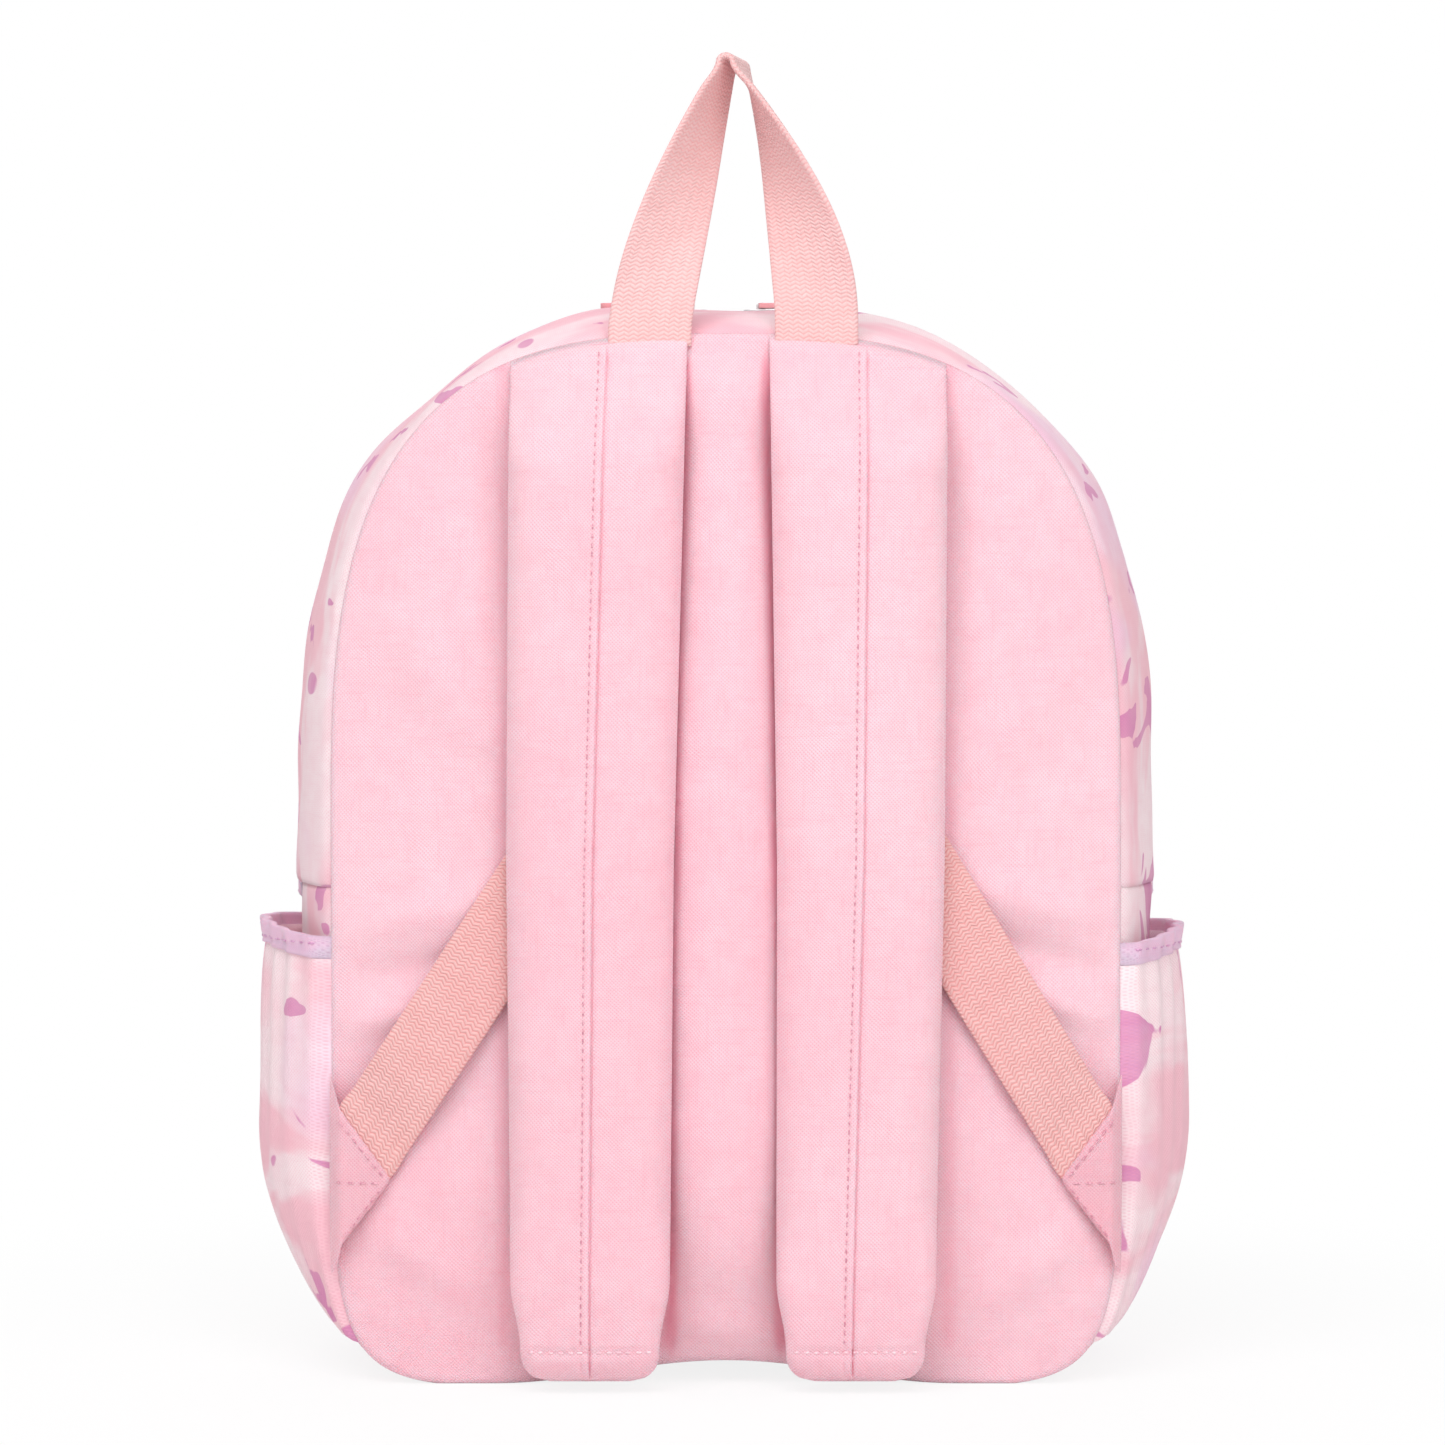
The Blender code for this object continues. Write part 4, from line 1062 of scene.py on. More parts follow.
@dataclass(frozen=True)
class Ride:
    """What a piece moves with: one body, or two bodies and two points between them, which nothing here uses
    to bend it.
    """

    body: str
    other: str = ""
    start: Point = (0.0, 0.0, 0.0)
    end: Point = (0.0, 0.0, 0.0)

    def tie(self, piece: Piece) -> None:
        """Tie a finished piece to its one body; a piece that names two bodies only has its place put into its
        mesh.
        """
        if self.other:
            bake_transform(piece)
        else:
            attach(piece, self.body)


ON_BAG = Ride("bag")
FLAP_RIDE = Ride("bag", "front_flap", start=(0.0, 0.0, 0.150), end=(0.0, 0.0, 0.198))


def mark_rub(piece: Piece) -> None:
    """Store how proud (towards 1) or tucked in (towards 0) each point of a piece lies; finishes darken tucked
    points of cloth as painted shade and pale proud points as wear.
    """
    mesh, place = piece.data, places_of(piece)
    count = len(place)
    normal, ends = np.zeros(count * 3), np.zeros(len(mesh.edges) * 2, np.int32)
    mesh.vertices.foreach_get("normal", normal)
    mesh.edges.foreach_get("vertices", ends)
    normal, ends = normal.reshape(-1, 3), ends.reshape(-1, 2)
    run = place[ends[:, 1]] - place[ends[:, 0]]
    span = np.linalg.norm(run, axis=1)
    total, length, edges = np.zeros((count, 3)), np.zeros(count), np.zeros(count)
    for end, sign in ((0, 1.0), (1, -1.0)):
        np.add.at(total, ends[:, end], sign * run)
        np.add.at(length, ends[:, end], span)
        np.add.at(edges, ends[:, end], 1.0)
    edges = np.maximum(edges, 1.0)
    sag = -np.einsum("ij,ij->i", total / edges[:, None], normal) / np.maximum(length / edges, 1e-9)
    kept = mesh.attributes.get("rub") or mesh.attributes.new("rub", "FLOAT", "POINT")
    kept.data.foreach_set("value", np.clip(0.5 + 0.9 * sag, 0.0, 1.0).astype(np.float32))


def deepen(piece: Piece, amount: Callable[[Array, Array, Array], Array]) -> None:
    """Paint shade onto parts of a piece, by lowering the stored value that its finish turns into a deeper
    colour.

    Args:
        piece: A piece whose points already hold how proud they lie.
        amount: How much painted shade at x, y and z.
    """
    rub, value = piece.data.attributes["rub"], np.zeros(len(piece.data.vertices), np.float32)
    rub.data.foreach_get("value", value)
    rub.data.foreach_set("value", (value - amount(*places_of(piece).T)).astype(np.float32))


class Assembly:
    """A group of pieces that one maker's step puts together."""

    def hand_over(
        self, piece: Piece, finishes: Sequence[Finish], ride: Ride, nodes: Sequence[str] = ()
    ) -> Piece:
        """Dress a finished piece, tie it to the frame and report it.

        Args:
            piece: The object, with its place in its mesh.
            finishes: The finishes of its faces, outside first.
            ride: What it moves with.
            nodes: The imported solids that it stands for.

        Returns:
            The same object.
        """
        piece.data.materials.clear()
        for finish in finishes:
            piece.data.materials.append(finish.material())
        mark_rub(piece)
        ride.tie(piece)
        if nodes:
            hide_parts(*nodes)
        LOG.info("%s: %d faces on %s", piece.name, len(piece.data.polygons), ride.body)
        return piece


# Stitches


@dataclass
class Needle:
    """Rows of stitches that lie on a finished piece."""

    pitch: float = 0.0036
    length: float = 0.0025
    thickness: float = 0.00062
    sunk: float = 0.00008

    def stitch(self) -> tuple[Array, list[list[int]]]:
        """One stitch along X, modelled once from a ball drawn out to a spindle: its points and faces."""
        bpy.ops.object.select_all(action="DESELECT")
        bpy.ops.mesh.primitive_uv_sphere_add(segments=6, ring_count=5, radius=0.5)
        ball, size = bpy.context.object, (self.length, self.thickness, 0.8 * self.thickness)
        with editing(ball, True):
            bpy.ops.transform.rotate(value=math.pi / 2, orient_axis="Y", center_override=(0, 0, 0))
            bpy.ops.transform.resize(value=size, center_override=(0, 0, 0))
        points, faces = take_shape(ball)
        points[:, 0] = power_of(2 * points[:, 0] / self.length, 0.6) * self.length / 2
        return points, faces

    def rows(
        self, name: str, cloth: Piece, paths: Sequence[Array], towards: Point
    ) -> Piece:
        """Lay stitches along paths that are cast onto a cloth.

        Args:
            name: The piece's name.
            cloth: The finished piece that the rows lie on.
            paths: Points along each row, outside the cloth.
            towards: The direction in which the paths are cast.

        Returns:
            One object with all the rows.
        """
        bm = bmesh.new()
        bm.from_mesh(cloth.data)
        tree = BVHTree.FromBMesh(bm)
        bm.free()
        shape, faces = self.stitch()
        copies = []
        rise = 0.3 * self.thickness - self.sunk
        for path in paths:
            length = travel(path)[-1]
            line = smooth_path(path, max(3, 2 * int(length / self.pitch) + 1))
            hits = [tree.ray_cast(Vector(p), Vector(towards)) for p in line]
            for i in range(1, len(line) - 1, 2):
                (before, *_), (middle, normal, *_), (after, *_) = hits[i - 1 : i + 2]
                if before is None or middle is None or after is None:
                    continue
                out = normal if normal.dot(Vector(towards)) < 0 else -normal
                along = (after - before).normalized()
                across = out.cross(along).normalized()
                out = along.cross(across)
                turned = shape @ np.array([along, across, out])
                copies.append(np.array(middle) + rise * np.array(out) + turned)
        row = strew(name, np.array(copies), faces)
        row.data.shade_smooth()
        return row


# The sewn body


@dataclass
class BackPanel(Assembly):
    """The padded back panel: a cover over foam, closed by a lining."""

    form: BagForm
    count: int = 480
    ring_count: int = 72
    roll: float = 0.0026
    pad: float = 0.0091
    lining_inset: float = 0.0055
    lining_rings: int = 14
    seam_inset: float = 0.0022
    seam_depth: float = 0.0012
    seam_drop: float = 0.0004
    first_share: float = 0.03
    pull_gain: float = 2.4
    pillow: float = 0.0070
    pillow_top: float = 0.3150
    strap_edge: float = 0.0665
    beside_strap: float = 0.0024
    nodes: tuple[str, ...] = ("back_panel_cover", "back_panel_foam", "back_panel_lining")
    # Each pull of the cloth: its two ends in x and z, its width and its height.
    pulls: tuple[tuple, ...] = (
        ((-0.118, 0.136), (-0.064, 0.150), 0.0060, 0.0010),
        ((-0.118, 0.121), (-0.070, 0.131), 0.0050, -0.0009),
        ((-0.117, 0.108), (-0.082, 0.116), 0.0045, 0.0009),
        ((-0.112, 0.052), (-0.072, 0.026), 0.0070, 0.0008),
        ((0.118, 0.140), (0.068, 0.152), 0.0060, 0.0010),
        ((0.118, 0.123), (0.074, 0.137), 0.0050, -0.0010),
        ((0.117, 0.110), (0.086, 0.120), 0.0045, 0.0008),
        ((0.111, 0.050), (0.074, 0.022), 0.0070, 0.0009),
        ((-0.100, 0.235), (-0.072, 0.190), 0.0080, 0.0007),
        ((0.104, 0.220), (0.074, 0.180), 0.0080, 0.0008),
        ((-0.020, 0.020), (0.020, 0.014), 0.0060, 0.0006),
    )

    def relief(self, x: Array, z: Array) -> Array:
        """Pulls from the tabs, the dents of the straps and soft waves, outwards."""
        pulls = np.zeros_like(x)
        for start, end, width, height in self.pulls:
            pulls += height * crease(x, z, start, end, width)
        inner = 1.0 - self.form.arch.reach(x, z) ** 6
        waves = 0.0007 * ripple(x, z, 0.075, 11) + 0.00025 * ripple(x, z, 0.028, 12)
        swell = np.maximum(0.0, 1.0 - (x / self.between(z)) ** 2) ** 0.8
        pillow = self.pillow * swell * ease((self.pillow_top - z) / 0.022) * ease(z / 0.05)
        beside = self.beside_strap * ease((np.abs(x) - self.strap_edge) / 0.010) * ease((z - 0.190) / 0.040)
        return self.pull_gain * pulls + waves * inner + pillow + beside * inner

    def between(self, z: Array) -> Array:
        """Half the room between the two straps at heights."""
        return mix(0.0140, 0.0180, ease((0.3125 - z) / 0.20))

    def valleys(self, x: Array, y: Array, z: Array) -> Array:
        """How much shade is painted in narrow lines beside the straps' inner and outer edges, on the panel's
        outer face.
        """
        inner = bell(np.abs(x) - self.between(z) + 0.0008, 0.0032)
        outer = 0.55 * bell(np.abs(x) - 0.0670, 0.0042)
        held = ease((0.316 - z) / 0.01) * ease((z - 0.004) / 0.01)
        outside = y < self.form.back_face(x, z) + self.pad / 2
        return 0.26 * (inner + outer) * held * outside

    def build(self) -> None:
        """Cut and sew the panel, and hand it over."""
        form, arch = self.form, self.form.arch
        x, z, tuck, drop = arch.rolled(self.first_share, self.ring_count, self.count, self.roll)
        drop = (form.cloth + self.seam_drop) * drop
        y = form.back_face(x, z) - self.relief(x, z) * (1.0 - tuck) + drop
        inner = np.linspace(1.0, self.first_share, self.lining_rings)
        lx, lz = arch.rings(inner, self.lining_inset, self.count)
        ly = form.back_face(lx, lz) + self.pad
        sx, sz = arch.rings(np.array([1.0]), self.seam_inset, self.count)
        rings = [joined(x, y, z), joined(sx, form.rear + self.seam_depth, sz), joined(lx, ly, lz)]
        pattern = Pattern()
        for points, tone in ((np.vstack(rings[:2]), 0), (np.vstack(rings[1:]), 1)):
            pattern.patch(points, closed(points[..., [0, 2]]), ring=True, tone=tone)
        for ring, turned, tone in ((rings[0][0], True, 0), (rings[2][-1], False, 1)):
            hub = np.array([0.0, float(ring[:, 1].mean()), arch.centre_z])
            flat = np.vstack([hub[[0, 2]][None], ring[:, [0, 2]], ring[:1, [0, 2]]])
            pattern.fan(hub, ring, flat, turned=turned, tone=tone)
        panel = pattern.sew("back_panel")
        self.hand_over(panel, (PINK_CLOTH, LINING), ON_BAG, self.nodes)
        # Painted shadow in lines beside the straps.
        deepen(panel, self.valleys)


@dataclass
class Gusset(Assembly):
    """The printed strips between the back and the front, with the main zip let into the upper ones."""

    form: BagForm
    stitch_inset: float = 0.0016
    hem_lap: float = 0.0030
    hem_rise: float = 0.0005
    hem_sink: float = 0.0008
    end_sink: float = 0.0004

    def strip(
        self, name: str, shares: tuple[float, float], edges: tuple[float, float], size: tuple[int, int],
        seed: int, hems: tuple[bool, bool] = (False, False), shift: float = 0.0, puff: float = 0.0,
    ) -> Piece:
        """One strip of lined cloth that follows the arch.

        Args:
            name: The piece's name.
            shares: Where it starts and ends along the arch.
            edges: Its near and far depth.
            size: Points along and across.
            seed: Which set of waves.
            hems: Whether its near and its far edge are turned under beside the zip.
            shift: Where on the printed cloth it was cut.
            puff: How far it stands up between its edges over the top of the bag.

        Returns:
            The piece.
        """
        form = self.form
        s = np.linspace(*shares, size[0])[:, None]
        y = mix(*edges, (1 - np.cos(np.linspace(0, math.pi, size[1]))) / 2)[None]
        over_top = arc(s) ** 90
        offset = form.gusset_relief(s, y, seed)
        offset = offset + puff * over_top * arc((y - edges[0]) / (edges[1] - edges[0]))
        for folded, edge in zip(hems, edges):
            hem = self.hem_rise * bell(y - edge, 0.0030) - self.hem_sink * bell(y - edge, 0.0005)
            offset = offset + hem * folded
        ends = np.minimum(np.abs(s - shares[0]), np.abs(shares[1] - s)) * form.arch.length
        offset = offset - self.end_sink * bell(ends, 0.0010)
        flat = joined(s * form.arch.length + shift, y + shift)
        inside = (0.0, form.middle, form.arch.spring)
        return cut_cloth(name, form.gusset(s, y, offset), flat, inside, form.cloth)

    def build(self) -> None:
        """Cut the lower gusset and the two upper ones beside the zip."""
        form, low = self.form, self.form.zip_start
        upper, hem = (low, 1 - low), form.tape_width - self.hem_lap
        edges = (form.rear, form.front)
        lower = self.strip("lower_gusset_cloth", (-low, low), edges, (300, 34), 21, shift=0.31)
        self.hand_over(lower, (CLOUD_PRINT, LINING), ON_BAG, ("lower_gusset",))
        edges = (form.rear, form.zip_y - hem)
        rear = self.strip("rear_gusset_cloth", upper, edges, (300, 24), 31, (False, True), 0.07, 0.0030)
        self.hand_over(rear, (CLOUD_PRINT, LINING), ON_BAG, ("rear_zip_gusset",))
        edges = (form.zip_y + hem, form.front)
        front = self.strip("front_gusset_cloth", upper, edges, (300, 20), 41, (True, False), 0.57)
        self.hand_over(front, (CLOUD_PRINT, LINING), FLAP_RIDE, ("front_zip_gusset",))
        row = hem + self.stitch_inset
        self.topstitch(rear, "rear_gusset_stitches", form.zip_y - row, ON_BAG)
        self.topstitch(front, "front_gusset_stitches", form.zip_y + row, FLAP_RIDE)

    def topstitch(self, cloth: Piece, name: str, y: float, ride: Ride) -> None:
        """A row of stitches beside the zip, all along one strip, cast from outside towards the middle."""
        low = self.form.zip_start + 0.004
        s = np.linspace(low, 1 - low, 240)
        runs = ((np.abs(s - 0.5) < 0.09, (0, 0, -1)), (s <= 0.41, (-1, 0, 0)), (s >= 0.59, (1, 0, 0)))
        rows = []
        for part, towards in runs:
            path = self.form.gusset(s[part], np.full(part.sum(), y), 0.004)
            rows.append(Needle(pitch=0.0034).rows(f"{name}_{len(rows)}", cloth, [path], towards))
        pick_only(rows[0])
        for row in rows[1:]:
            row.select_set(True)
        bpy.ops.object.join()
        rows[0].name = rows[0].data.name = name
        self.hand_over(rows[0], (PINK_THREAD,), ride)


@dataclass
class MainZip(Assembly):
    """The coil zip along the upper gusset: two tapes, their coils, and a patch over each lower end."""

    form: BagForm
    pitch: float = 0.0017
    tooth_length: float = 0.0026
    tooth_width: float = 0.0011
    throat: float = 0.0046
    thickness: float = 0.0007
    under_hem: float = -0.0016
    tuck_in: float = 0.001
    coil_level: float = -0.0006
    coil_lap: float = 0.0006
    smooth_degrees: float = 50.0
    patch_height: float = 0.006
    patch_puff: float = 0.0014
    patch_rim: float = 0.0012

    def tape(self, name: str, edges: tuple[float, float], level: float) -> Piece:
        """One woven tape that lies level in the slider's throat and dips under the gusset's hem."""
        s = np.linspace(self.form.zip_start, 1 - self.form.zip_start, 260)[:, None]
        y = np.linspace(*edges, 16)[None]
        under = ease((np.abs(y - self.form.zip_y) - self.throat) / 0.0010)
        depth = mix(level, self.under_hem, under) + 0.00008 * ripple(s * self.form.arch.length, y, 0.04, 51)
        points, flat = self.form.gusset(s, y, depth), joined(y, s * self.form.arch.length)
        inside = (0.0, self.form.middle, self.form.arch.spring)
        return cut_cloth(name, points, flat, inside, self.thickness, lined=False)

    def tooth(self) -> tuple[Array, list[list[int]]]:
        """One turn of the coil: a rod with a swollen head, drawn from a cylinder in edit mode."""
        bpy.ops.object.select_all(action="DESELECT")
        bpy.ops.mesh.primitive_cylinder_add(vertices=8, radius=self.tooth_width / 2, depth=self.tooth_length)
        rod = bpy.context.object
        with editing(rod, False):
            choose(rod, "FACE", lambda face: face.normal.z > 0.9)
            for rise, size in ((0.00025, 1.18), (0.00030, 0.75)):
                bpy.ops.mesh.extrude_region_move(TRANSFORM_OT_translate={"value": (0, 0, rise)})
                bpy.ops.transform.resize(value=(size, size, 1.0))
        return take_shape(rod)

    def coil(self, name: str, sign: int, half_step: float) -> Piece:
        """All the teeth of one tape, which reach over the middle of the zip."""
        form, low = self.form, self.form.zip_start
        count = int((1 - 2 * low) * form.arch.length / self.pitch)
        s = low + (np.arange(count) + half_step) * self.pitch / form.arch.length
        shape, faces = self.tooth()
        across = form.gusset(s, np.full(count, form.zip_y), self.coil_level)
        out = unit(form.gusset(s, np.full(count, form.zip_y), 0.01) - across)
        depth = np.array([0.0, -float(sign), 0.0])
        along = np.cross(depth, out)
        centre = across - depth * (self.tooth_length / 2 - self.coil_lap)
        points = (
            centre[:, None] + shape[None, :, :1] * along[:, None]
            + shape[None, :, 1:2] * out[:, None] + shape[None, :, 2:] * depth[None, None]
        )
        return soften(strew(name, points, faces), self.smooth_degrees)

    def end_patch(self, side: Side) -> None:
        """A small folded patch over the lower end of the zip."""
        form = self.form
        z = np.linspace(form.fold_z - self.patch_height - 0.0003, form.fold_z + 0.0004, 12)[:, None]
        y = np.linspace(form.zip_y - form.tape_width, form.zip_y + form.tape_width, 18)[None]
        rim = self.patch_rim
        puff = self.patch_puff * inside_ends(z, rim) ** 0.5 * inside_ends(y, rim) ** 0.5
        points = form.gusset(form.arch.share_at(z, side), y, 0.0003 + puff)
        name = f"zip_end_patch_{side.label}"
        piece = cut_cloth(name, points, joined(y, z), (0.0, 0.0, 0.146), 0.0008, lined=False)
        self.hand_over(piece, (LILAC_TAPE,), ON_BAG, (f"zip_end_tab_{side.label}",))
        line = joined(side.value * 0.150, form.zip_y + np.linspace(-0.0058, 0.0058, 5), form.fold_z - 0.0045)
        needle = Needle(pitch=0.0028, length=0.0020)
        rows = needle.rows(f"zip_end_stitches_{side.label}", piece, [line], (-side.value, 0, 0))
        self.hand_over(rows, (LILAC_THREAD,), ON_BAG)

    def build(self) -> None:
        """Both tapes, both coils and both end patches."""
        form = self.form
        half = form.chain_gap / 2
        rear_edges = (form.zip_y - form.tape_width - self.tuck_in, form.zip_y - half)
        front_edges = (form.zip_y + half, form.zip_y + form.tape_width + self.tuck_in)
        rear = self.tape("main_zip_rear_cloth", rear_edges, -0.0004)
        self.hand_over(rear, (ZIP_CLOTH,), ON_BAG, ("main_zip_rear_tape",))
        front = self.tape("main_zip_front_cloth", front_edges, -0.0001)
        self.hand_over(front, (ZIP_CLOTH,), FLAP_RIDE, ("main_zip_front_tape",))
        self.hand_over(self.coil("main_zip_rear_coil", -1, 0.25), (COIL_PLASTIC,), ON_BAG)
        self.hand_over(self.coil("main_zip_front_coil", 1, 0.75), (COIL_PLASTIC,), FLAP_RIDE)
        for side in Side:
            self.end_patch(side)


@dataclass
class FrontPanel(Assembly):
    """The printed front, which folds open above the line where the main zip ends."""

    form: BagForm
    count: int = 264
    ring_count: int = 36
    first_share: float = 0.04
    roll: float = 0.0026
    seam_drop: float = 0.0004

    def build(self) -> None:
        """Cut the whole front as one cloth across the fold."""
        form, arch = self.form, self.form.arch
        x, z, tuck, drop = arch.rolled(self.first_share, self.ring_count, self.count, self.roll)
        inner = 1.0 - arch.reach(x, z) ** 6
        waves = 0.0011 * ripple(x, z, 0.09, 61) + 0.0004 * ripple(x, z, 0.032, 62)
        sag = 0.0010 * crease(x, z, (-0.10, 0.172), (0.10, 0.168), 0.010)
        drop = (form.cloth + self.seam_drop) * drop
        y = form.front_face(x, z) + (waves + sag) * inner * (1 - tuck) - drop
        pattern = Pattern()
        pattern.disc(joined(x, y, z), np.array([0.0, y[0].mean(), arch.centre_z]), 0.9)
        panel = pattern.sew("front_panel_cloth", away_from=(0.0, -0.5, 0.16))
        wall(panel, form.cloth)
        ride = Ride("bag", "front_flap", start=(0.0, 0.0, 0.148), end=(0.0, 0.0, 0.176))
        self.hand_over(panel, (CLOUD_PRINT, LINING), ride, ("front_panel_lower", "front_panel_upper"))


@dataclass
class FrontPocket(Assembly):
    """The bellows pocket on the front: its wall, its face, its header and its zip."""

    form: BagForm
    half_width: float = 0.088
    base_z: float = 0.024
    top_z: float = 0.141
    corner: float = 0.024
    depth: float = 0.030
    crown: float = 0.003
    zip_drop: float = 0.023
    tape_width: float = 0.006
    tape_thickness: float = 0.0009
    tape_sunk: float = 0.0012
    hem: float = 0.0022
    stitch_inset: float = 0.0016
    roll: float = 0.0024
    count: int = 200

    @property
    def seam(self) -> float:
        """Where the face meets the wall."""
        return self.form.front + self.depth

    @property
    def zip_z(self) -> float:
        """The height of the pocket's zip."""
        return self.top_z - self.zip_drop

    @property
    def middle(self) -> float:
        """The height of the face's centre."""
        return (self.base_z + self.top_z) / 2

    def outline(self) -> Array:
        """The rounded outline as evenly spaced rows of x, z and the outward normal."""
        inner = self.half_width - self.corner
        rows = []
        for x, z, first in (
            (inner, self.base_z + self.corner, -90), (inner, self.top_z - self.corner, 0),
            (-inner, self.top_z - self.corner, 90), (-inner, self.base_z + self.corner, 180),
        ):
            turn = np.radians(first + np.linspace(0, 90, 24))
            rows.append(np.stack([x + self.corner * np.cos(turn), z + self.corner * np.sin(turn)], -1))
        line = np.vstack(rows + [rows[0][:1]])
        place, (x, z) = even_ring(line, self.count)
        dx, dz = np.roll(x, -1) - np.roll(x, 1), np.roll(z, -1) - np.roll(z, 1)
        size = np.hypot(dx, dz)
        return np.stack([x, z, dz / size, -dx / size, place], -1)

    def dome(self, x: Array | float, z: Array | float) -> Array:
        """How much of the face's crown stands at a point, from 0 at the seam."""
        half = (self.top_z - self.base_z) / 2
        reach = np.maximum(np.abs(x) / self.half_width, np.abs(z - self.middle) / half)
        return 1 - np.minimum(1.0, reach) ** self.form.crown_power

    def face_y(self, x: Array, z: Array) -> Array:
        """The outer face of the pocket."""
        waves = 0.0008 * ripple(x, z, 0.07, 71) + 0.0003 * ripple(x, z, 0.025, 72)
        return self.seam + self.form.cloth + (self.crown + waves) * self.dome(x, z)

    def wall_piece(self) -> Piece:
        """The bellows wall, which sags between its two seams."""
        x, z, nx, nz, along = (column[:, None] for column in self.outline().T)
        near = self.form.front_face(x, z) - 0.0006
        share = (1 - np.cos(np.linspace(0, math.pi, 16)))[None] / 2
        y = mix(near, self.seam, share)
        bulge = 0.0018 * arc(share) - 0.0012 * (bell(share, 0.07) + bell(1 - share, 0.07))
        bulge = bulge + 0.0008 * ripple(along, y, 0.030, 73) * arc(share)
        points = joined(x + nx * bulge, y, z + nz * bulge)
        flat = joined(along + 1.7, y)
        flat = np.concatenate([flat, flat[:1] + [along.max() + 0.003, 0]], axis=0)
        pattern = Pattern()
        pattern.patch(np.swapaxes(points, 0, 1), np.swapaxes(flat, 0, 1), ring=True)
        bellows = pattern.sew("front_pocket_bellows", away_from=(0.0, self.seam, self.middle))
        return wall(bellows, self.form.cloth)

    def face_slice(
        self, name: str, low: float, high: float, thickness: float, sunk: float = 0.0
    ) -> Piece:
        """A slice of the domed face, cut with the bisect tool.

        Args:
            name: The piece's name.
            low: Where it starts.
            high: Where it ends.
            thickness: Its thickness.
            sunk: How far it lies behind the face.

        Returns:
            The piece.
        """
        x, z = self.outline().T[:2]
        shares = 1.0 - (1.0 - np.linspace(0.05, 1.0, 26)) ** 1.4
        _, drop = roll_in(shares, np.hypot(x, z - self.middle), self.roll)
        x, z = shares[:, None] * x[None], self.middle + shares[:, None] * (z[None] - self.middle)
        y = self.face_y(x, z) - (self.form.cloth + 0.0003) * drop - sunk
        pattern = Pattern()
        pattern.disc(joined(x, y, z), np.array([0.0, y[0].mean(), self.middle]), 2.6)
        piece = pattern.sew(name, away_from=(0.0, -0.5, self.middle))
        for height, way in ((low, -1), (high, 1)):
            with editing(piece, True):
                bpy.ops.mesh.bisect(plane_co=(0, 0, height), plane_no=(0, 0, way), clear_outer=True)
        return wall(piece, thickness)

    def face_part(self, name: str, node: str, way: int, end: float) -> Piece:
        """The face below the zip or the header above it, from its hem to an end past the seam."""
        low, high = sorted((self.zip_z + way * (self.form.chain_gap / 2 + self.hem), end))
        part = self.face_slice(f"front_pocket_{name}", low, high, self.form.cloth)
        return self.hand_over(part, (CLOUD_PRINT, LINING), ON_BAG, (f"front_pocket_{node}",))

    def build(self) -> None:
        """The wall, the face in two pieces with the zip between them, and the stitches."""
        self.hand_over(self.wall_piece(), (CLOUD_PRINT, LINING), ON_BAG, ("front_pocket_wall",))
        face = self.face_part("front", "face", -1, self.base_z - 0.01)
        header = self.face_part("top", "header", 1, self.top_z + 0.01)
        half, far = self.form.chain_gap / 2, self.half_width - 0.004
        for label, way in (("lower", -1), ("upper", 1)):
            low, high = sorted((self.zip_z + way * half, self.zip_z + way * (half + self.tape_width)))
            name = f"front_pocket_{label}_zip_tape"
            tape = self.face_slice(name, low, high, self.tape_thickness, self.tape_sunk)
            self.hand_over(tape, (ZIP_CLOTH, ZIP_CLOTH), ON_BAG, (f"front_pocket_{label}_tape",))
        row = half + self.hem + self.stitch_inset
        for cloth, label, way in ((face, "face", -1), (header, "top", 1)):
            line = joined(np.linspace(-far, far, 60), 0.12, self.zip_z + way * row)
            rows = Needle(pitch=0.0034).rows(f"front_pocket_{label}_stitches", cloth, [line], (0, -1, 0))
            self.hand_over(rows, (PINK_THREAD,), ON_BAG)
        self.coils()

    def coils(self) -> None:
        """The teeth of the pocket's zip, on each side of its middle."""
        zip_maker = MainZip(self.form)
        shape, faces = zip_maker.tooth()
        x = np.arange(0.0025 - self.half_width, self.half_width - 0.0025, zip_maker.pitch)
        for label, sign, shift in (("lower", 1.0, 0.25), ("upper", -1.0, 0.75)):
            place = x + shift * zip_maker.pitch
            y = self.face_y(place, np.full_like(place, self.zip_z)) - 0.0009
            centre = joined(place, y, self.zip_z - sign * 0.0007)
            coil = strew(f"front_pocket_{label}_coil", centre[:, None] + shape * (1.0, sign, sign), faces)
            self.hand_over(soften(coil, zip_maker.smooth_degrees), (COIL_PLASTIC,), ON_BAG)


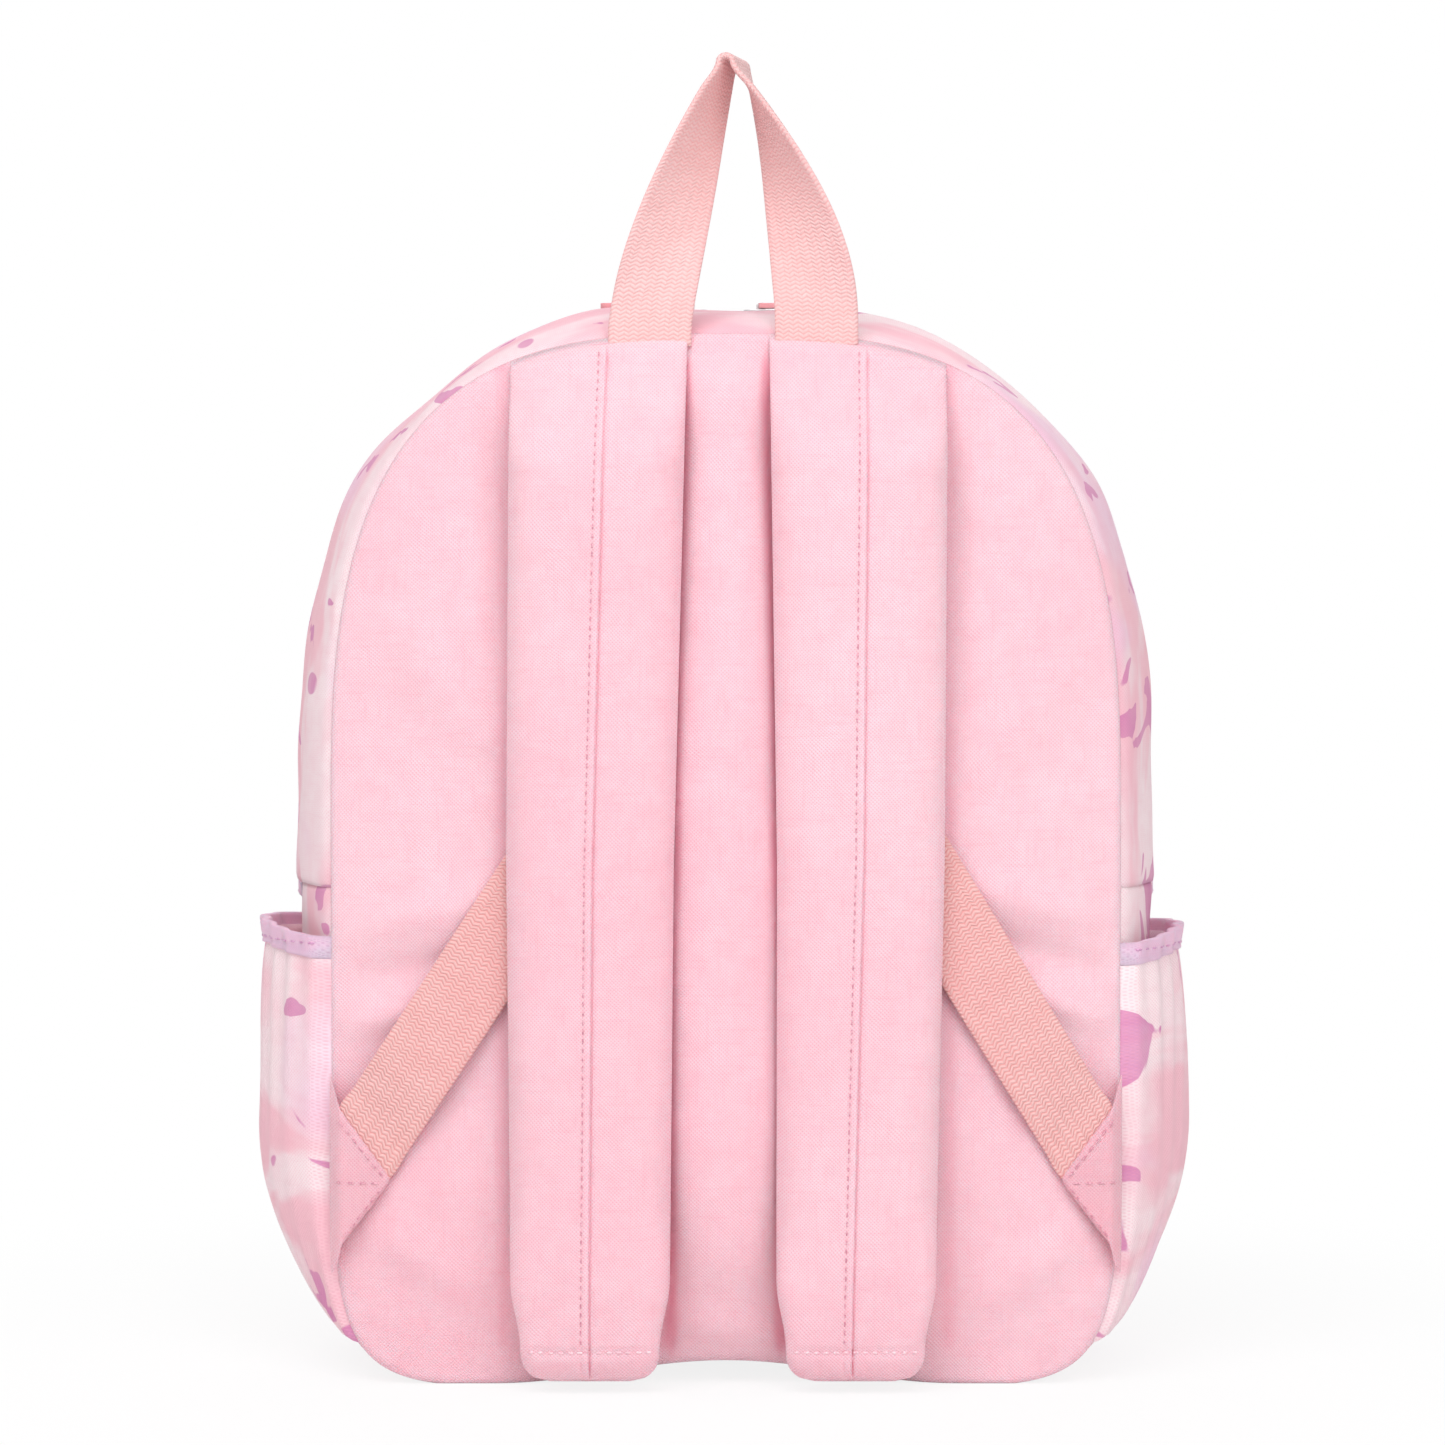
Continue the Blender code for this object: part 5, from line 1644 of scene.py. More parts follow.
@dataclass
class SidePocket(Assembly):
    """An open pocket on a side of the bag, gathered by the elastic binding round its mouth."""

    form: BagForm
    side: Side
    base_z: float = 0.0105
    top_z: float = 0.132
    depth: float = 0.0115
    gather: float = 0.40
    sag: float = 0.0030
    lap: float = 0.0008
    seam: float = 0.0025
    base_seam: float = 0.0040
    seam_sunk: float = -0.0024
    stand: float = 0.0014
    mouth_rise: float = 0.0025
    binding_height: float = 0.0070
    binding_thickness: float = 0.0026
    binding_drop: float = 0.0006
    binding_sunk: float = -0.0030
    binding_stand: float = 0.0007
    folds: int = 8

    def up(self, z: Array) -> Array:
        """How far up the pocket a height lies, from 0 to 1."""
        return np.clip((z - self.base_z) / (self.top_z - self.base_z), 0.0, 1.0)

    def point(self, z: Array, y: Array, offset: Array | float = 0.0) -> Array:
        """Points on the pocket's plain form, or that far outside it."""
        up, room = self.up(z), arc(self.form.across(y))
        swell = room**0.5 * ease(up / 0.55) * (1 - self.gather * up**6)
        sag = self.sag * (1 - room) * up**2
        share = self.form.arch.share_at(z - sag, self.side)
        return self.form.gusset(share, y, 0.0006 + self.depth * swell + offset)

    def pleats(self, z: Array, y: Array) -> Array:
        """The gathers under the elastic, and softer folds where the base is sewn in."""
        up, across = self.up(z), self.form.across(y)
        seed = 80 + self.side.value
        drift = 0.9 * ripple(across * 0.1, z, 0.16, seed)
        waves = np.sin(2 * math.pi * self.folds * (across + 0.06 * np.sin(5 * across)) + drift)
        held = arc(across) ** 0.5
        top = ease((up - 0.30) / 0.70) * 0.0011
        base = (1 - up) ** 4 * 0.0016 * ease(up / 0.10)
        slack = 0.0011 * ripple(y, 0.5 * z, 0.060, seed + 5) * arc(up) ** 0.6
        return (waves * (top + base) + slack) * held

    def build(self) -> None:
        """The pocket, its binding and its stitches."""
        form, side = self.form, self.side
        turn = np.sin(np.linspace(-math.pi / 2, math.pi / 2, 80))
        y = (form.middle + (form.depth / 2 + self.lap) * turn)[None]
        z = mix(self.base_z, self.top_z + self.mouth_rise, np.linspace(0, 1, 46) ** 1.2)[:, None]
        above_base = np.clip((z - self.base_z) / self.base_seam, 0.0, 1.0)
        edge = np.minimum(inside_ends(y, self.seam), above_base)
        points = self.point(z, y, mix(self.seam_sunk, self.stand, edge) + self.pleats(z, y))
        name, flat = f"side_pocket_cloth_{side.label}", joined(y + 3.3 + 0.4 * side.value, z)
        cloth = cut_cloth(name, points, flat, (0.0, form.middle, 0.08), form.cloth)
        self.hand_over(cloth, (CLOUD_PRINT, LINING), ON_BAG, (f"side_pocket_{side.label}",))
        binding = self.binding(y[0])
        rim = joined(side.value * 0.20, y[0, 4:-4], self.top_z + 0.0012)
        needle = Needle(pitch=0.0034, length=0.0024)
        rows = needle.rows(f"side_pocket_stitches_{side.label}", binding, [rim], (-side.value, 0, 0))
        self.hand_over(rows, (LILAC_THREAD,), ON_BAG)

    def binding(self, y: Array) -> Piece:
        """The soft band round the mouth, folded over the cloth's edge."""
        turn = np.linspace(0, 2 * math.pi, 28, endpoint=False)
        up, out = power_of(np.sin(turn), 0.5), power_of(np.cos(turn), 0.6)
        z0 = self.top_z - self.binding_drop
        z = z0 + self.binding_height * (up[None] + 1) / 2 + np.zeros_like(y)[:, None]
        across = y[:, None] + np.zeros_like(up)[None]
        ends = np.maximum(0.0, arc((across - y.min()) / np.ptp(y))) ** 0.35
        wave = self.pleats(np.full_like(z, self.top_z), across) * 0.8
        lip = 0.0006 * bell(z - z0 - self.binding_height, 0.0020) - 0.0005 * bell(z - z0 - 0.0018, 0.0008)
        thick = self.binding_thickness * (0.5 + 0.5 * out[None]) * mix(0.35, 1.0, ends)
        sewn_in = inside_ends(across, self.seam)
        base = mix(self.binding_sunk, self.binding_stand, sewn_in)
        offset = base + wave + lip * (out[None] > 0) + thick
        points = self.point(z, across, offset)
        girth = np.linspace(0, 2 * (self.binding_height + self.binding_thickness), len(turn) + 1)
        flat = joined(girth[None], y[:, None])
        pattern = Pattern()
        pattern.tube(points, flat)
        band = face_out(pattern.sew(f"side_pocket_band_{self.side.label}"))
        return self.hand_over(band, (LILAC_TAPE,), ON_BAG, (f"side_pocket_binding_{self.side.label}",))


# Straps, webbing and the handle


@dataclass(frozen=True)
class Stuffing:
    """Foam that swells a closed cover, as a short cloth simulation with sewn points held."""

    pressure: float = 4.0
    frames: int = 14
    cap: float = 0.0011
    quality: int = 6
    mass: float = 0.15
    stretch: float = 12.0
    shear: float = 4.0
    bending: float = 0.4

    def fill(self, piece: Piece, sewn: Array) -> None:
        """Swell a cover a little and keep the result.

        Args:
            piece: The closed cover, drawn slightly too thin.
            sewn: True for each point that a seam holds.
        """
        mesh, rest = piece.data, places_of(piece)
        group = piece.vertex_groups.new(name="sewn")
        group.add([int(i) for i in np.flatnonzero(sewn)], 1.0, "REPLACE")
        cloth = piece.modifiers.new("stuffing", "CLOTH")
        settings = cloth.settings
        settings.quality = self.quality
        settings.mass = self.mass
        settings.tension_stiffness = settings.compression_stiffness = self.stretch
        settings.shear_stiffness = self.shear
        settings.bending_stiffness = self.bending
        settings.use_pressure = True
        settings.uniform_pressure_force = self.pressure
        settings.vertex_group_mass = "sewn"
        settings.effector_weights.gravity = 0.0
        cloth.collision_settings.use_collision = False
        scene = bpy.context.scene
        for frame in range(1, self.frames + 1):
            scene.frame_set(frame)
        moved = places_of(piece.evaluated_get(bpy.context.evaluated_depsgraph_get()))
        piece.modifiers.remove(cloth)
        piece.vertex_groups.remove(group)
        scene.frame_set(1)
        change = np.nan_to_num(moved - rest)
        size = np.linalg.norm(change, axis=1, keepdims=True)
        change *= np.tanh(size / self.cap) * self.cap / np.maximum(size, 1e-12)
        mesh.vertices.foreach_set("co", (rest + change).astype(np.float32).ravel())
        mesh.update()
        most = float(np.linalg.norm(change, axis=1).max())
        LOG.info("%s: swollen by up to %.1f mm", piece.name, 1000 * most)


@dataclass
class ShoulderStrap(Assembly):
    """A padded strap with a lapped seam down its face, and the loop that holds its ladder lock."""

    form: BagForm
    side: Side
    x_top: float = 0.039
    x_base: float = LOCK_X
    lean: tuple[float, float] = (0.0, 0.0)
    seam: tuple[float, float] = (0.09, -0.02)
    width_top: float = 0.053
    width_base: float = 0.047
    width_row: float = 0.0415
    width_end: float = 0.0245
    thick: float = 0.010
    thick_top: float = 0.004
    thick_end: float = 0.0072
    back: float = -0.0714
    top_z: float = 0.3125
    full_z: float = 0.276
    bend_z: float = 0.034
    end_z: float = 0.0035
    end_row_z: float = 0.0132
    end_tilt: float = 0.0030
    stitch_in: float = 0.0023
    lap_rise: float = 0.00060
    lap_groove: float = 0.0011
    row_sunk: float = 0.00035
    end_row_sunk: float = 0.0009
    pucker_length: float = 0.0145
    pucker_height: float = 0.00018
    webbing: float = 0.025
    root_z: float = 0.3150
    tuck_z: float = 0.3112
    tuck_run: float = 0.0034
    tuck_back: float = -0.0562
    tuck_thick: float = 0.0014
    end_radius: float = 0.0060
    loop_radius: float = 0.0019
    loop_root_z: float = 0.0080
    loop_thickness: float = 0.0010
    swing_y: float = -0.0603
    swing_z: tuple[float, float] = (0.3135, 0.290)
    # Columns of points close to the lapped seam, and where the seam usually lies among them.
    seam_columns: tuple[float, ...] = (
        -0.14, -0.115, -0.09, -0.07, -0.045, -0.03, -0.018, -0.008, 0.0, 0.006, 0.013, 0.024, 0.04,
    )
    usual_seam: float = 0.04

    def station(self, z: Array) -> tuple[Array, Array, Array, Array]:
        """Centre x, back face y, width and thickness at heights."""
        down = (self.top_z - z) / (self.top_z - self.end_z)
        top = ease((self.top_z - z) / (self.top_z - self.full_z))
        end = np.maximum(0.0, (self.bend_z - z) / (self.bend_z - self.end_z))
        x = self.side.value * mix(self.x_top, self.x_base, np.clip(2 * down, 0.0, 1.0))
        x = x + mix(*self.lean, down)
        back = mix(self.form.rear - self.form.cloth - 0.0014, self.back, top)
        under = np.clip((self.end_row_z - z) / (self.end_row_z - self.end_z), 0.0, 1.0)
        narrow = ease((self.bend_z - z) / (self.bend_z - self.end_row_z))
        width = mix(mix(self.width_top, self.width_base, down), self.width_row, narrow)
        width = mix(self.width_end, width, np.sqrt(1.0 - under**2.4))
        thick = mix(mix(self.thick_top, self.thick, top), self.thick_end, end**1.5)
        tucked = ease((z - self.tuck_z) / self.tuck_run)
        back = mix(back, self.tuck_back, tucked) + self.end_tilt * under**1.1
        return x, back, width, mix(thick, self.tuck_thick, tucked)

    def seam_at(self, z: Array) -> Array:
        """Where the lapped seam lies across the strap, from -1 to 1."""
        return mix(*self.seam, (self.top_z - z) / (self.top_z - self.end_z))

    def build(self) -> None:
        """The cover with its foam, the stitches and the loop."""
        label, x = self.side.label, self.side.value * self.x_top
        cover = face_out(self.pattern().sew(f"shoulder_strap_{label}"))
        Stuffing().fill(cover, self.sewn(places_of(cover)))
        start, end = ((x, self.swing_y, z) for z in self.swing_z)
        ride = Ride("bag", f"strap_{label}", start=start, end=end)
        self.stitches(cover, ride)
        self.hand_over(cover, (PINK_CLOTH,), ride, (f"strap_cover_{label}", f"strap_foam_{label}"))
        # Painted shade on the strap's end below its row of stitches.
        deepen(cover, self.turned_under)
        self.loop()

    def pattern(self) -> Pattern:
        """The cover, cut a little too thin, as a closed tube from its root to its end."""
        spread = np.sin(np.linspace(-math.pi / 2, math.pi / 2, 38))
        q = np.unique(np.concatenate([spread, self.usual_seam + np.array(self.seam_columns)]))[None]
        runs = ((self.end_z, 0.040, 34), (0.040, 0.296, 96), (0.296, self.root_z, 14))
        z = np.unique(np.concatenate([np.linspace(*run) for run in runs]))[::-1, None]
        x0, back, width, thick = self.station(z)
        a = q + (self.seam_at(z) - self.usual_seam) * (1 - q**2)
        end = np.clip((self.end_z + self.end_radius - z) / self.end_radius, 0, 1)
        end_round = np.sqrt(np.clip(1 - end**2, 0.04, 1))
        half = thick / 2 * np.sqrt(np.maximum(0.0, 1 - np.abs(a) ** 8)) * end_round
        x = x0 + a * width / 2
        arch = self.form.arch
        up = z + (arch.over(x, arch.z) - 0.0004 - self.root_z) * ease((z - 0.268) / 0.046)
        curl = (0.0018 * a**2 + 0.0034 * a**6) * ease((0.300 - z) / 0.03) * ease((z - 0.03) / 0.03)
        middle = back - thick / 2 + curl
        front = joined(x, middle - half - self.face_relief(x, z, a, x0, width), up)
        wave = 0.0005 * ripple(x, z, 0.06, 97) * (1 - a**2)
        rear = joined(x, middle + half - wave, up)[:, ::-1][:, 1:-1]
        points = np.concatenate([front, rear], axis=1)
        flat = points[..., [0, 2]] + 0.2
        flat[:, front.shape[1]:, 0] += 0.4
        pattern = Pattern()
        pattern.tube(points, closed(flat))
        return pattern

    def sewn(self, place: Array) -> Array:
        """True for each point that the root, the end, the lapped seam or an edge seam holds."""
        x, z = place[:, 0], place[:, 2]
        x0, _, width, _ = self.station(z)
        lapped = np.abs(x - x0 - self.seam_at(z) * width / 2 + 0.001) < 0.0028
        return (z > 0.303) | (z < self.end_row_z + 0.002) | lapped | (np.abs(x - x0) > 0.47 * width)

    def turned_under(self, x: Array, y: Array, z: Array) -> Array:
        """How much shade is painted on the end below its row of stitches, where it bends down and under."""
        return 0.13 * ease((self.end_row_z - 0.0006 - z) / 0.0030)

    def face_relief(self, x: Array, z: Array, a: Array, x0: Array, width: Array) -> Array:
        """The lapped seam, the pulled stitch rows and the softness of the face, outwards."""
        off = x - x0 - self.seam_at(z) * width / 2
        lap = self.lap_rise * (1 - ease(off / 0.0005 + 0.5)) - self.lap_groove * bell(off - 0.0003, 0.0004)
        row = -self.row_sunk * bell(off + self.stitch_in, 0.0008)
        end = -self.end_row_sunk * bell(z - self.end_row_z, 0.0011)
        face = 1 - np.abs(a) ** 6
        seed = 90 + self.side.value
        waves = 0.00055 * ripple(x, z, 0.062, seed) + 0.00016 * ripple(x, z, 0.021, seed + 3)
        puff = 0.0006 * (1 - a**2) + waves
        pucker = np.sin(2 * math.pi * z / self.pucker_length + 3 * ripple(x, z, 0.05, seed + 6))
        edge = self.pucker_height * pucker * bell(1 - np.abs(a), 0.20)
        fade = ease((0.3140 - z) / 0.004) * ease((z - 0.0035) / 0.003)
        return ((lap + row) * face + end * face + puff * face + edge) * fade

    def stitches(self, cover: Piece, ride: Ride) -> None:
        """The long row beside the lapped seam, and the row across the end."""
        z = np.linspace(0.3115, self.end_row_z + 0.002, 90)
        x0, _, width, _ = self.station(z)
        long_row = joined(x0 + self.seam_at(z) * width / 2 - self.stitch_in, -0.12, z)
        x0, _, width, _ = self.station(np.array([self.end_row_z]))
        end_row = joined(x0 + np.linspace(-0.455, 0.455, 30) * width, -0.12, self.end_row_z)
        for name, row, finish, thickness in (
            ("strap_stitches", long_row, ROSE_THREAD, 0.00058),
            ("strap_end_stitches", end_row, PINK_THREAD, 0.0008),
        ):
            needle = Needle(pitch=0.0027, length=0.0017, thickness=thickness)
            made = needle.rows(f"{name}_{self.side.label}", cover, [row], (0, 1, 0))
            self.hand_over(made, (finish,), ride)

    def loop(self) -> None:
        """The short webbing loop from the strap's end round the lock's lowest bar."""
        radius, turn = self.loop_radius, np.linspace(0, math.pi, 9)
        root_y, root_z, low_z = self.back + 0.0008, self.loop_root_z, LOCK_BAR_Z - 0.002
        y = [root_y, LOCK_Y - radius, *(LOCK_Y - radius * np.cos(turn)), LOCK_Y + radius, root_y + 0.0013]
        z = [root_z, low_z, *(LOCK_BAR_Z + radius * np.sin(turn)), low_z, root_z]
        x = self.side.value * self.x_base
        first = joined(x - self.webbing / 2, y, z)
        second = first + [self.webbing, 0, 0]
        normal = joined(0.0, -np.gradient(z), np.gradient(y))
        label = self.side.label
        piece = ribbon(f"lock_loop_{label}", first, second, normal, self.loop_thickness, 60)
        self.hand_over(piece, (WEBBING,), Ride(f"strap_{label}"), (f"strap_loop_{label}",))


def ribbon(
    name: str, first: Array, second: Array, normal: Array, thickness: float, count: int, columns: int = 22
) -> Piece:
    """A strip of webbing with rounded selvedges.

    Args:
        name: The piece's name.
        first: Points along one edge.
        second: Points along the other edge.
        normal: The directions in which its face looks.
        thickness: The thickness.
        count: Stations along the strip.
        columns: Points across each face.

    Returns:
        The piece.
    """
    rows = np.hstack([(first + second) / 2, (second - first) / 2, unit(normal)])
    rows = smooth_path(rows, count)
    middle, half, out = rows[:, :3], rows[:, 3:6], unit(rows[:, 6:])
    a = np.sin(np.linspace(-math.pi / 2, math.pi / 2, columns))
    rise = thickness / 2 * (1 - np.abs(a) ** 14) ** 0.5 * (1 + 0.18 * bell(np.abs(a) - 0.90, 0.06))
    core, swell = middle[:, None] + half[:, None] * a[None, :, None], out[:, None] * rise[None, :, None]
    points = np.concatenate([core + swell, (core - swell)[:, ::-1][:, 1:-1]], axis=1)
    width = 2 * float(np.linalg.norm(half, axis=1).mean())
    across = np.concatenate([a, 2 - a[::-1][1:-1], [3.0]]) * width / 2
    pattern = Pattern()
    pattern.tube(points, joined(across[None], travel(middle)[:, None]))
    return face_out(pattern.sew(name))


@dataclass
class WebbingTab(Assembly):
    """The folded cloth tab in the side seam that holds the end of the lower webbing."""

    form: BagForm
    side: Side
    thickness: float = 0.0034
    outline: tuple[tuple[float, float], ...] = (
        (0.1192, 0.0950), (0.1178, 0.0905), (0.1160, 0.0845), (0.1085, 0.0742), (0.1003, 0.0630),
        (0.1085, 0.0520), (0.1155, 0.0432), (0.1168, 0.0370), (0.1190, 0.0330), (0.1193, 0.0600),
    )
    hub: tuple[float, float] = (0.1120, 0.0620)
    stitch_lines: tuple[tuple, ...] = (
        ((0.1165, 0.0810), (0.1025, 0.0632)),
        ((0.1180, 0.0620), (0.1035, 0.0618)),
        ((0.1030, 0.0608), (0.1150, 0.0452)),
    )
    middle_y: float = -0.0630
    rim_width: float = 0.0018
    seam_x: float = 0.1150
    seam_turn: float = 0.0042

    def rim(self, count: int = 150) -> Array:
        """The outline as evenly spaced points with slightly rounded corners."""
        points = even_ring(np.array(self.outline + self.outline[:1]), count)[1].T
        for _ in range(5):
            points = 0.5 * points + 0.25 * (np.roll(points, 1, axis=0) + np.roll(points, -1, axis=0))
        return points

    def build(self) -> None:
        """The tab as a thin pillow that follows the panel at its seam edge, with three rows of stitches."""
        rim, sign, label = self.rim(), self.side.value, self.side.label
        shares = np.sin(np.linspace(0.12, math.pi / 2, 16))
        hub = np.array(self.hub)
        place = hub + shares[:, None, None] * (rim - hub)[None]
        away = (1 - shares)[:, None] * np.linalg.norm(rim - hub, axis=1)[None]
        puff = np.sqrt(np.clip(1 - (1 - np.clip(away / self.rim_width, 0, 1)) ** 2, 0, 1))
        x, z = sign * place[..., 0], place[..., 1]
        middle = np.minimum(self.middle_y, self.form.back_face(x, z) - self.thickness / 2 + 0.0002)
        into_seam = self.seam_turn * ease((np.abs(x) - self.seam_x) / 0.0050)
        middle = mix(self.middle_y, middle, 0.25) + into_seam
        wave = 0.0003 * ripple(x, z, 0.018, 120 + sign)
        front = middle - self.thickness / 2 * puff - wave * puff
        rear = middle + self.thickness / 2 * puff
        pattern = Pattern()
        for depth, turned in ((front, sign > 0), (rear, sign < 0)):
            centre = np.array([sign * hub[0], depth[0].mean(), hub[1]])
            pattern.disc(joined(x, depth, z), centre, 0.7, turned)
        tab = face_out(pattern.sew(f"webbing_tab_cloth_{label}"))
        self.hand_over(tab, (TAB_CLOTH,), ON_BAG, (f"webbing_tab_{label}",))
        share = np.linspace(0, 1, 8)[:, None]
        lines = [mix(np.array(start), np.array(end), share) for start, end in self.stitch_lines]
        paths = [joined(sign * line[:, 0], -0.10, line[:, 1]) for line in lines]
        needle = Needle(pitch=0.0031, length=0.0023, thickness=0.0007)
        rows = needle.rows(f"tab_stitches_{label}", tab, paths, (0, 1, 0))
        self.hand_over(rows, (ROSE_THREAD,), ON_BAG)


@dataclass
class LowerWebbing(Assembly):
    """The webbing from its tab up behind the strap, folded over, and down to the ladder lock."""

    form: BagForm
    side: Side
    width: float = 0.025
    thickness: float = 0.0015
    top: tuple[float, float] = (0.1180, 0.0870)
    tip: tuple[float, float] = (0.1005, 0.0630)
    tab_y: float = -0.0630
    fold: tuple[float, float] = (0.0415, 0.175)
    layer: float = 0.0019
    lift: float = 0.0014
    lock_y: float = LOCK_Y
    join_z: float = 0.049
    end_z: float = 0.0215
    swing: tuple[float, float] = (0.3635, -0.0069)
    # How far its two edges go on into the tab, in x and z, and how much deeper they lie there.
    tuck: tuple[tuple[float, float], ...] = ((-0.0004, -0.0030), (0.0026, -0.0020))
    tuck_depth: float = 0.0012
    # Heights at which the tail hangs straight down, and at which it has come over to the lock.
    hang_z: tuple[float, float] = (0.150, 0.120)
    over_z: float = 0.080

    def lines(self) -> tuple[Array, Array, Array]:
        """The webbing's edges at the tab and the ends of its fold, in x and z, and the fold's normal."""
        top, tip = np.array(self.top), np.array(self.tip)
        start = np.stack([mix(tip, top, 0.88), mix(tip, top, 0.01)])
        fold = np.array(self.fold)
        run = unit(fold - start.mean(0))
        normal = unit(np.array([0.0, -1.0]) - run)
        turned = np.array([-normal[1], normal[0]]) * (self.width / 2 / abs(normal[1]))
        return start, np.stack([fold + turned, fold - turned]), normal

    def build(self) -> None:
        """The slanting run, the tail down to the lock and the short turn inside the lock."""
        label, form = self.side.label, self.form
        start, ends, normal = self.lines()
        layer_y = form.rear - form.cloth - form.back_crown - self.lift
        share = np.linspace(0, 1, 16)[:, None]
        tucked = start + np.array(self.tuck)
        pair = [np.vstack([tucked[k], mix(start[k], ends[k], share)]) for k in (0, 1)]
        share = np.vstack([share[:1], share])
        lines = (*pair, (pair[0] + pair[1]) / 2)
        under = np.minimum.reduce([form.back_face(*line.T) for line in lines])
        y = mix(self.tab_y, np.minimum(under, layer_y + 0.001) - self.lift, ease(4 * share[:, 0]))
        y = mix(y, layer_y, ease(share[:, 0]))
        y[0] += self.tuck_depth
        rows = [(pair[0][i], pair[1][i], y[i], (0.0, 1.0, 0.0)) for i in range(len(share))]
        half = self.layer / 2
        rise = -normal * half
        rows.append((ends[0] + rise, ends[1] + rise, layer_y - half, (rise[0], 0.0, rise[1])))
        rows.append((ends[0], ends[1], layer_y - self.layer, (0.0, -1.0, 0.0)))
        run = self.strip(f"lower_webbing_run_{label}", rows, 150)
        start_point, end_point = self.run_blend(start, ends)
        ride = Ride("bag", f"strap_{label}", start=start_point, end=end_point)
        self.hand_over(run, (WEBBING,), ride, (f"lower_webbing_{label}",))
        hang = layer_y - self.layer
        places = [(z, hang) for z in self.hang_z] + [(z, self.lock_y) for z in (self.over_z, self.join_z)]
        piece = self.strip(f"lower_webbing_tail_{label}", rows[-1:] + self.level_rows(places), 100)
        place = self.side.value * self.fold[0]
        start_point, end_point = ((place, -0.0680, z) for z in self.swing)
        ride = Ride("bag", f"strap_{label}", start=start_point, end=end_point)
        self.hand_over(piece, (WEBBING,), ride, (f"lower_webbing_{label}",))
        heights = (self.join_z + 0.001, 0.0420, 0.0380, 0.0335, 0.0290, 0.0250, self.end_z)
        bows = (0.0, 0.0, 0.0001, 0.0, 0.0, 0.0, 0.0)
        places = [(z, self.lock_y + bow) for z, bow in zip(heights, bows)]
        piece = self.strip(f"lower_webbing_end_{label}", self.level_rows(places), 40)
        self.hand_over(piece, (WEBBING,), Ride(f"lock_{label}"), (f"lower_webbing_{label}",))

    def level_rows(self, places: Sequence[tuple[float, float]]) -> list[tuple]:
        """Rows straight across the webbing's width, at heights and depths, that look at the strap."""
        x = self.fold[0] + np.array([1, -1]) * self.width / 2
        return [(np.array([x[0], z]), np.array([x[1], z]), y, (0.0, -1.0, 0.0)) for z, y in places]

    def strip(self, name: str, rows: Sequence[tuple], count: int) -> Piece:
        """A ribbon through rows of two edge points in x and z, a depth and a normal, on this side."""
        sign = self.side.value
        first = np.array([(sign * a[0], y, a[1]) for a, _, y, _ in rows])
        second = np.array([(sign * b[0], y, b[1]) for _, b, y, _ in rows])
        normal = np.array([(sign * n[0], n[1], n[2]) for *_, n in rows])
        return ribbon(name, first, second, normal, self.thickness, count)

    def run_blend(self, start: Array, ends: Array) -> tuple[Point, Point]:
        """Two points between which the run would leave the bag for the strap, in step with the tail; its ride
        keeps them without using them.
        """
        reach = self.swing[0] - self.swing[1]
        along_fold = unit(ends[1] - ends[0])
        at_fold = (self.swing[0] - self.fold[1]) / reach
        base = start[1]
        system = np.array([along_fold, np.array(self.fold) - base])
        slope = np.linalg.solve(system, np.array([-along_fold[1] / reach, at_fold]))
        way = slope / (slope @ slope)
        return tuple((self.side.value * x, -0.0665, z) for x, z in (base, base + way))


@dataclass
class GrabHandle(Assembly):
    """The webbing handle: both legs rise from the top seam and turn edge-on as they meet."""

    x: float = 0.0250
    base_z: float = 0.3172
    peak_z: float = 0.3985
    bend: float = 0.0021
    sweep: float = 1.6
    shift: float = 0.0022
    cross: float = 0.20
    width: float = 0.025
    thickness: float = 0.0018
    sway: float = 0.0012
    twist_start: float = 0.13
    y: float = -0.0584
    root_z: float = 0.3128

    def station(self, share: float, side: int) -> tuple[Array, Array, Array]:
        """Edge points and facing at a share of one leg, from its seam to the peak's bend."""
        shoulder = self.peak_z - self.bend
        x = mix(self.bend, self.x, 1 - share**self.sweep)
        slope = (self.x - self.bend) * self.sweep * share ** (self.sweep - 1)
        rise = np.array([-side * slope, 0.0, shoulder - self.base_z])
        full = math.pi / 2 + side * self.cross
        twist = full * max(0.0, (share - self.twist_start) / (1 - self.twist_start))
        across = np.array([side * math.cos(twist), -math.sin(twist), 0.0])
        lean = self.shift + self.sway * math.sin(math.pi * share)
        centre = np.array([lean + side * x, self.y, mix(self.base_z, shoulder, share)])
        facing = np.cross(across, rise) * -side
        return centre + across * self.width / 2, centre - across * self.width / 2, facing

    def build(self) -> None:
        """The whole strip from seam to seam."""
        shares = [0.0, 0.10, 0.20, 0.30, 0.42, 0.54, 0.66, 0.78, 0.90, 1.0]
        stations = [self.station(share, -1) for share in shares]
        half = np.array([-math.sin(self.cross), -math.cos(self.cross), 0.0]) * self.width / 2
        for angle in np.linspace(math.pi, 0, 9)[1:-1]:
            out = np.array([math.cos(angle), 0.0, math.sin(angle)])
            centre = np.array([self.shift, self.y, self.peak_z - self.bend]) + out * self.bend
            stations.append((centre + half, centre - half, out))
        stations += [self.station(share, 1) for share in reversed(shares)]
        drop = np.array([0.0, 0.0, self.root_z - self.base_z])
        stations = [tuple(p + drop for p in stations[0][:2]) + (stations[0][2],)] + stations
        stations += [tuple(p + drop for p in stations[-1][:2]) + (stations[-1][2],)]
        first, second, normal = (np.array([row[k] for row in stations]) for k in range(3))
        for before, facing in zip(normal, normal[1:]):
            facing *= 1 if facing @ before > 0 else -1
        handle = ribbon("grab_handle_webbing", first, second, normal, self.thickness, 230)
        start, end = ((0.0, self.y, self.base_z + rise) for rise in (-0.001, 0.006))
        ride = Ride("bag", "handle", start=start, end=end)
        self.hand_over(handle, (HANDLE_WEBBING,), ride, ("grab_handle",))


# Hard pieces, modelled as by hand


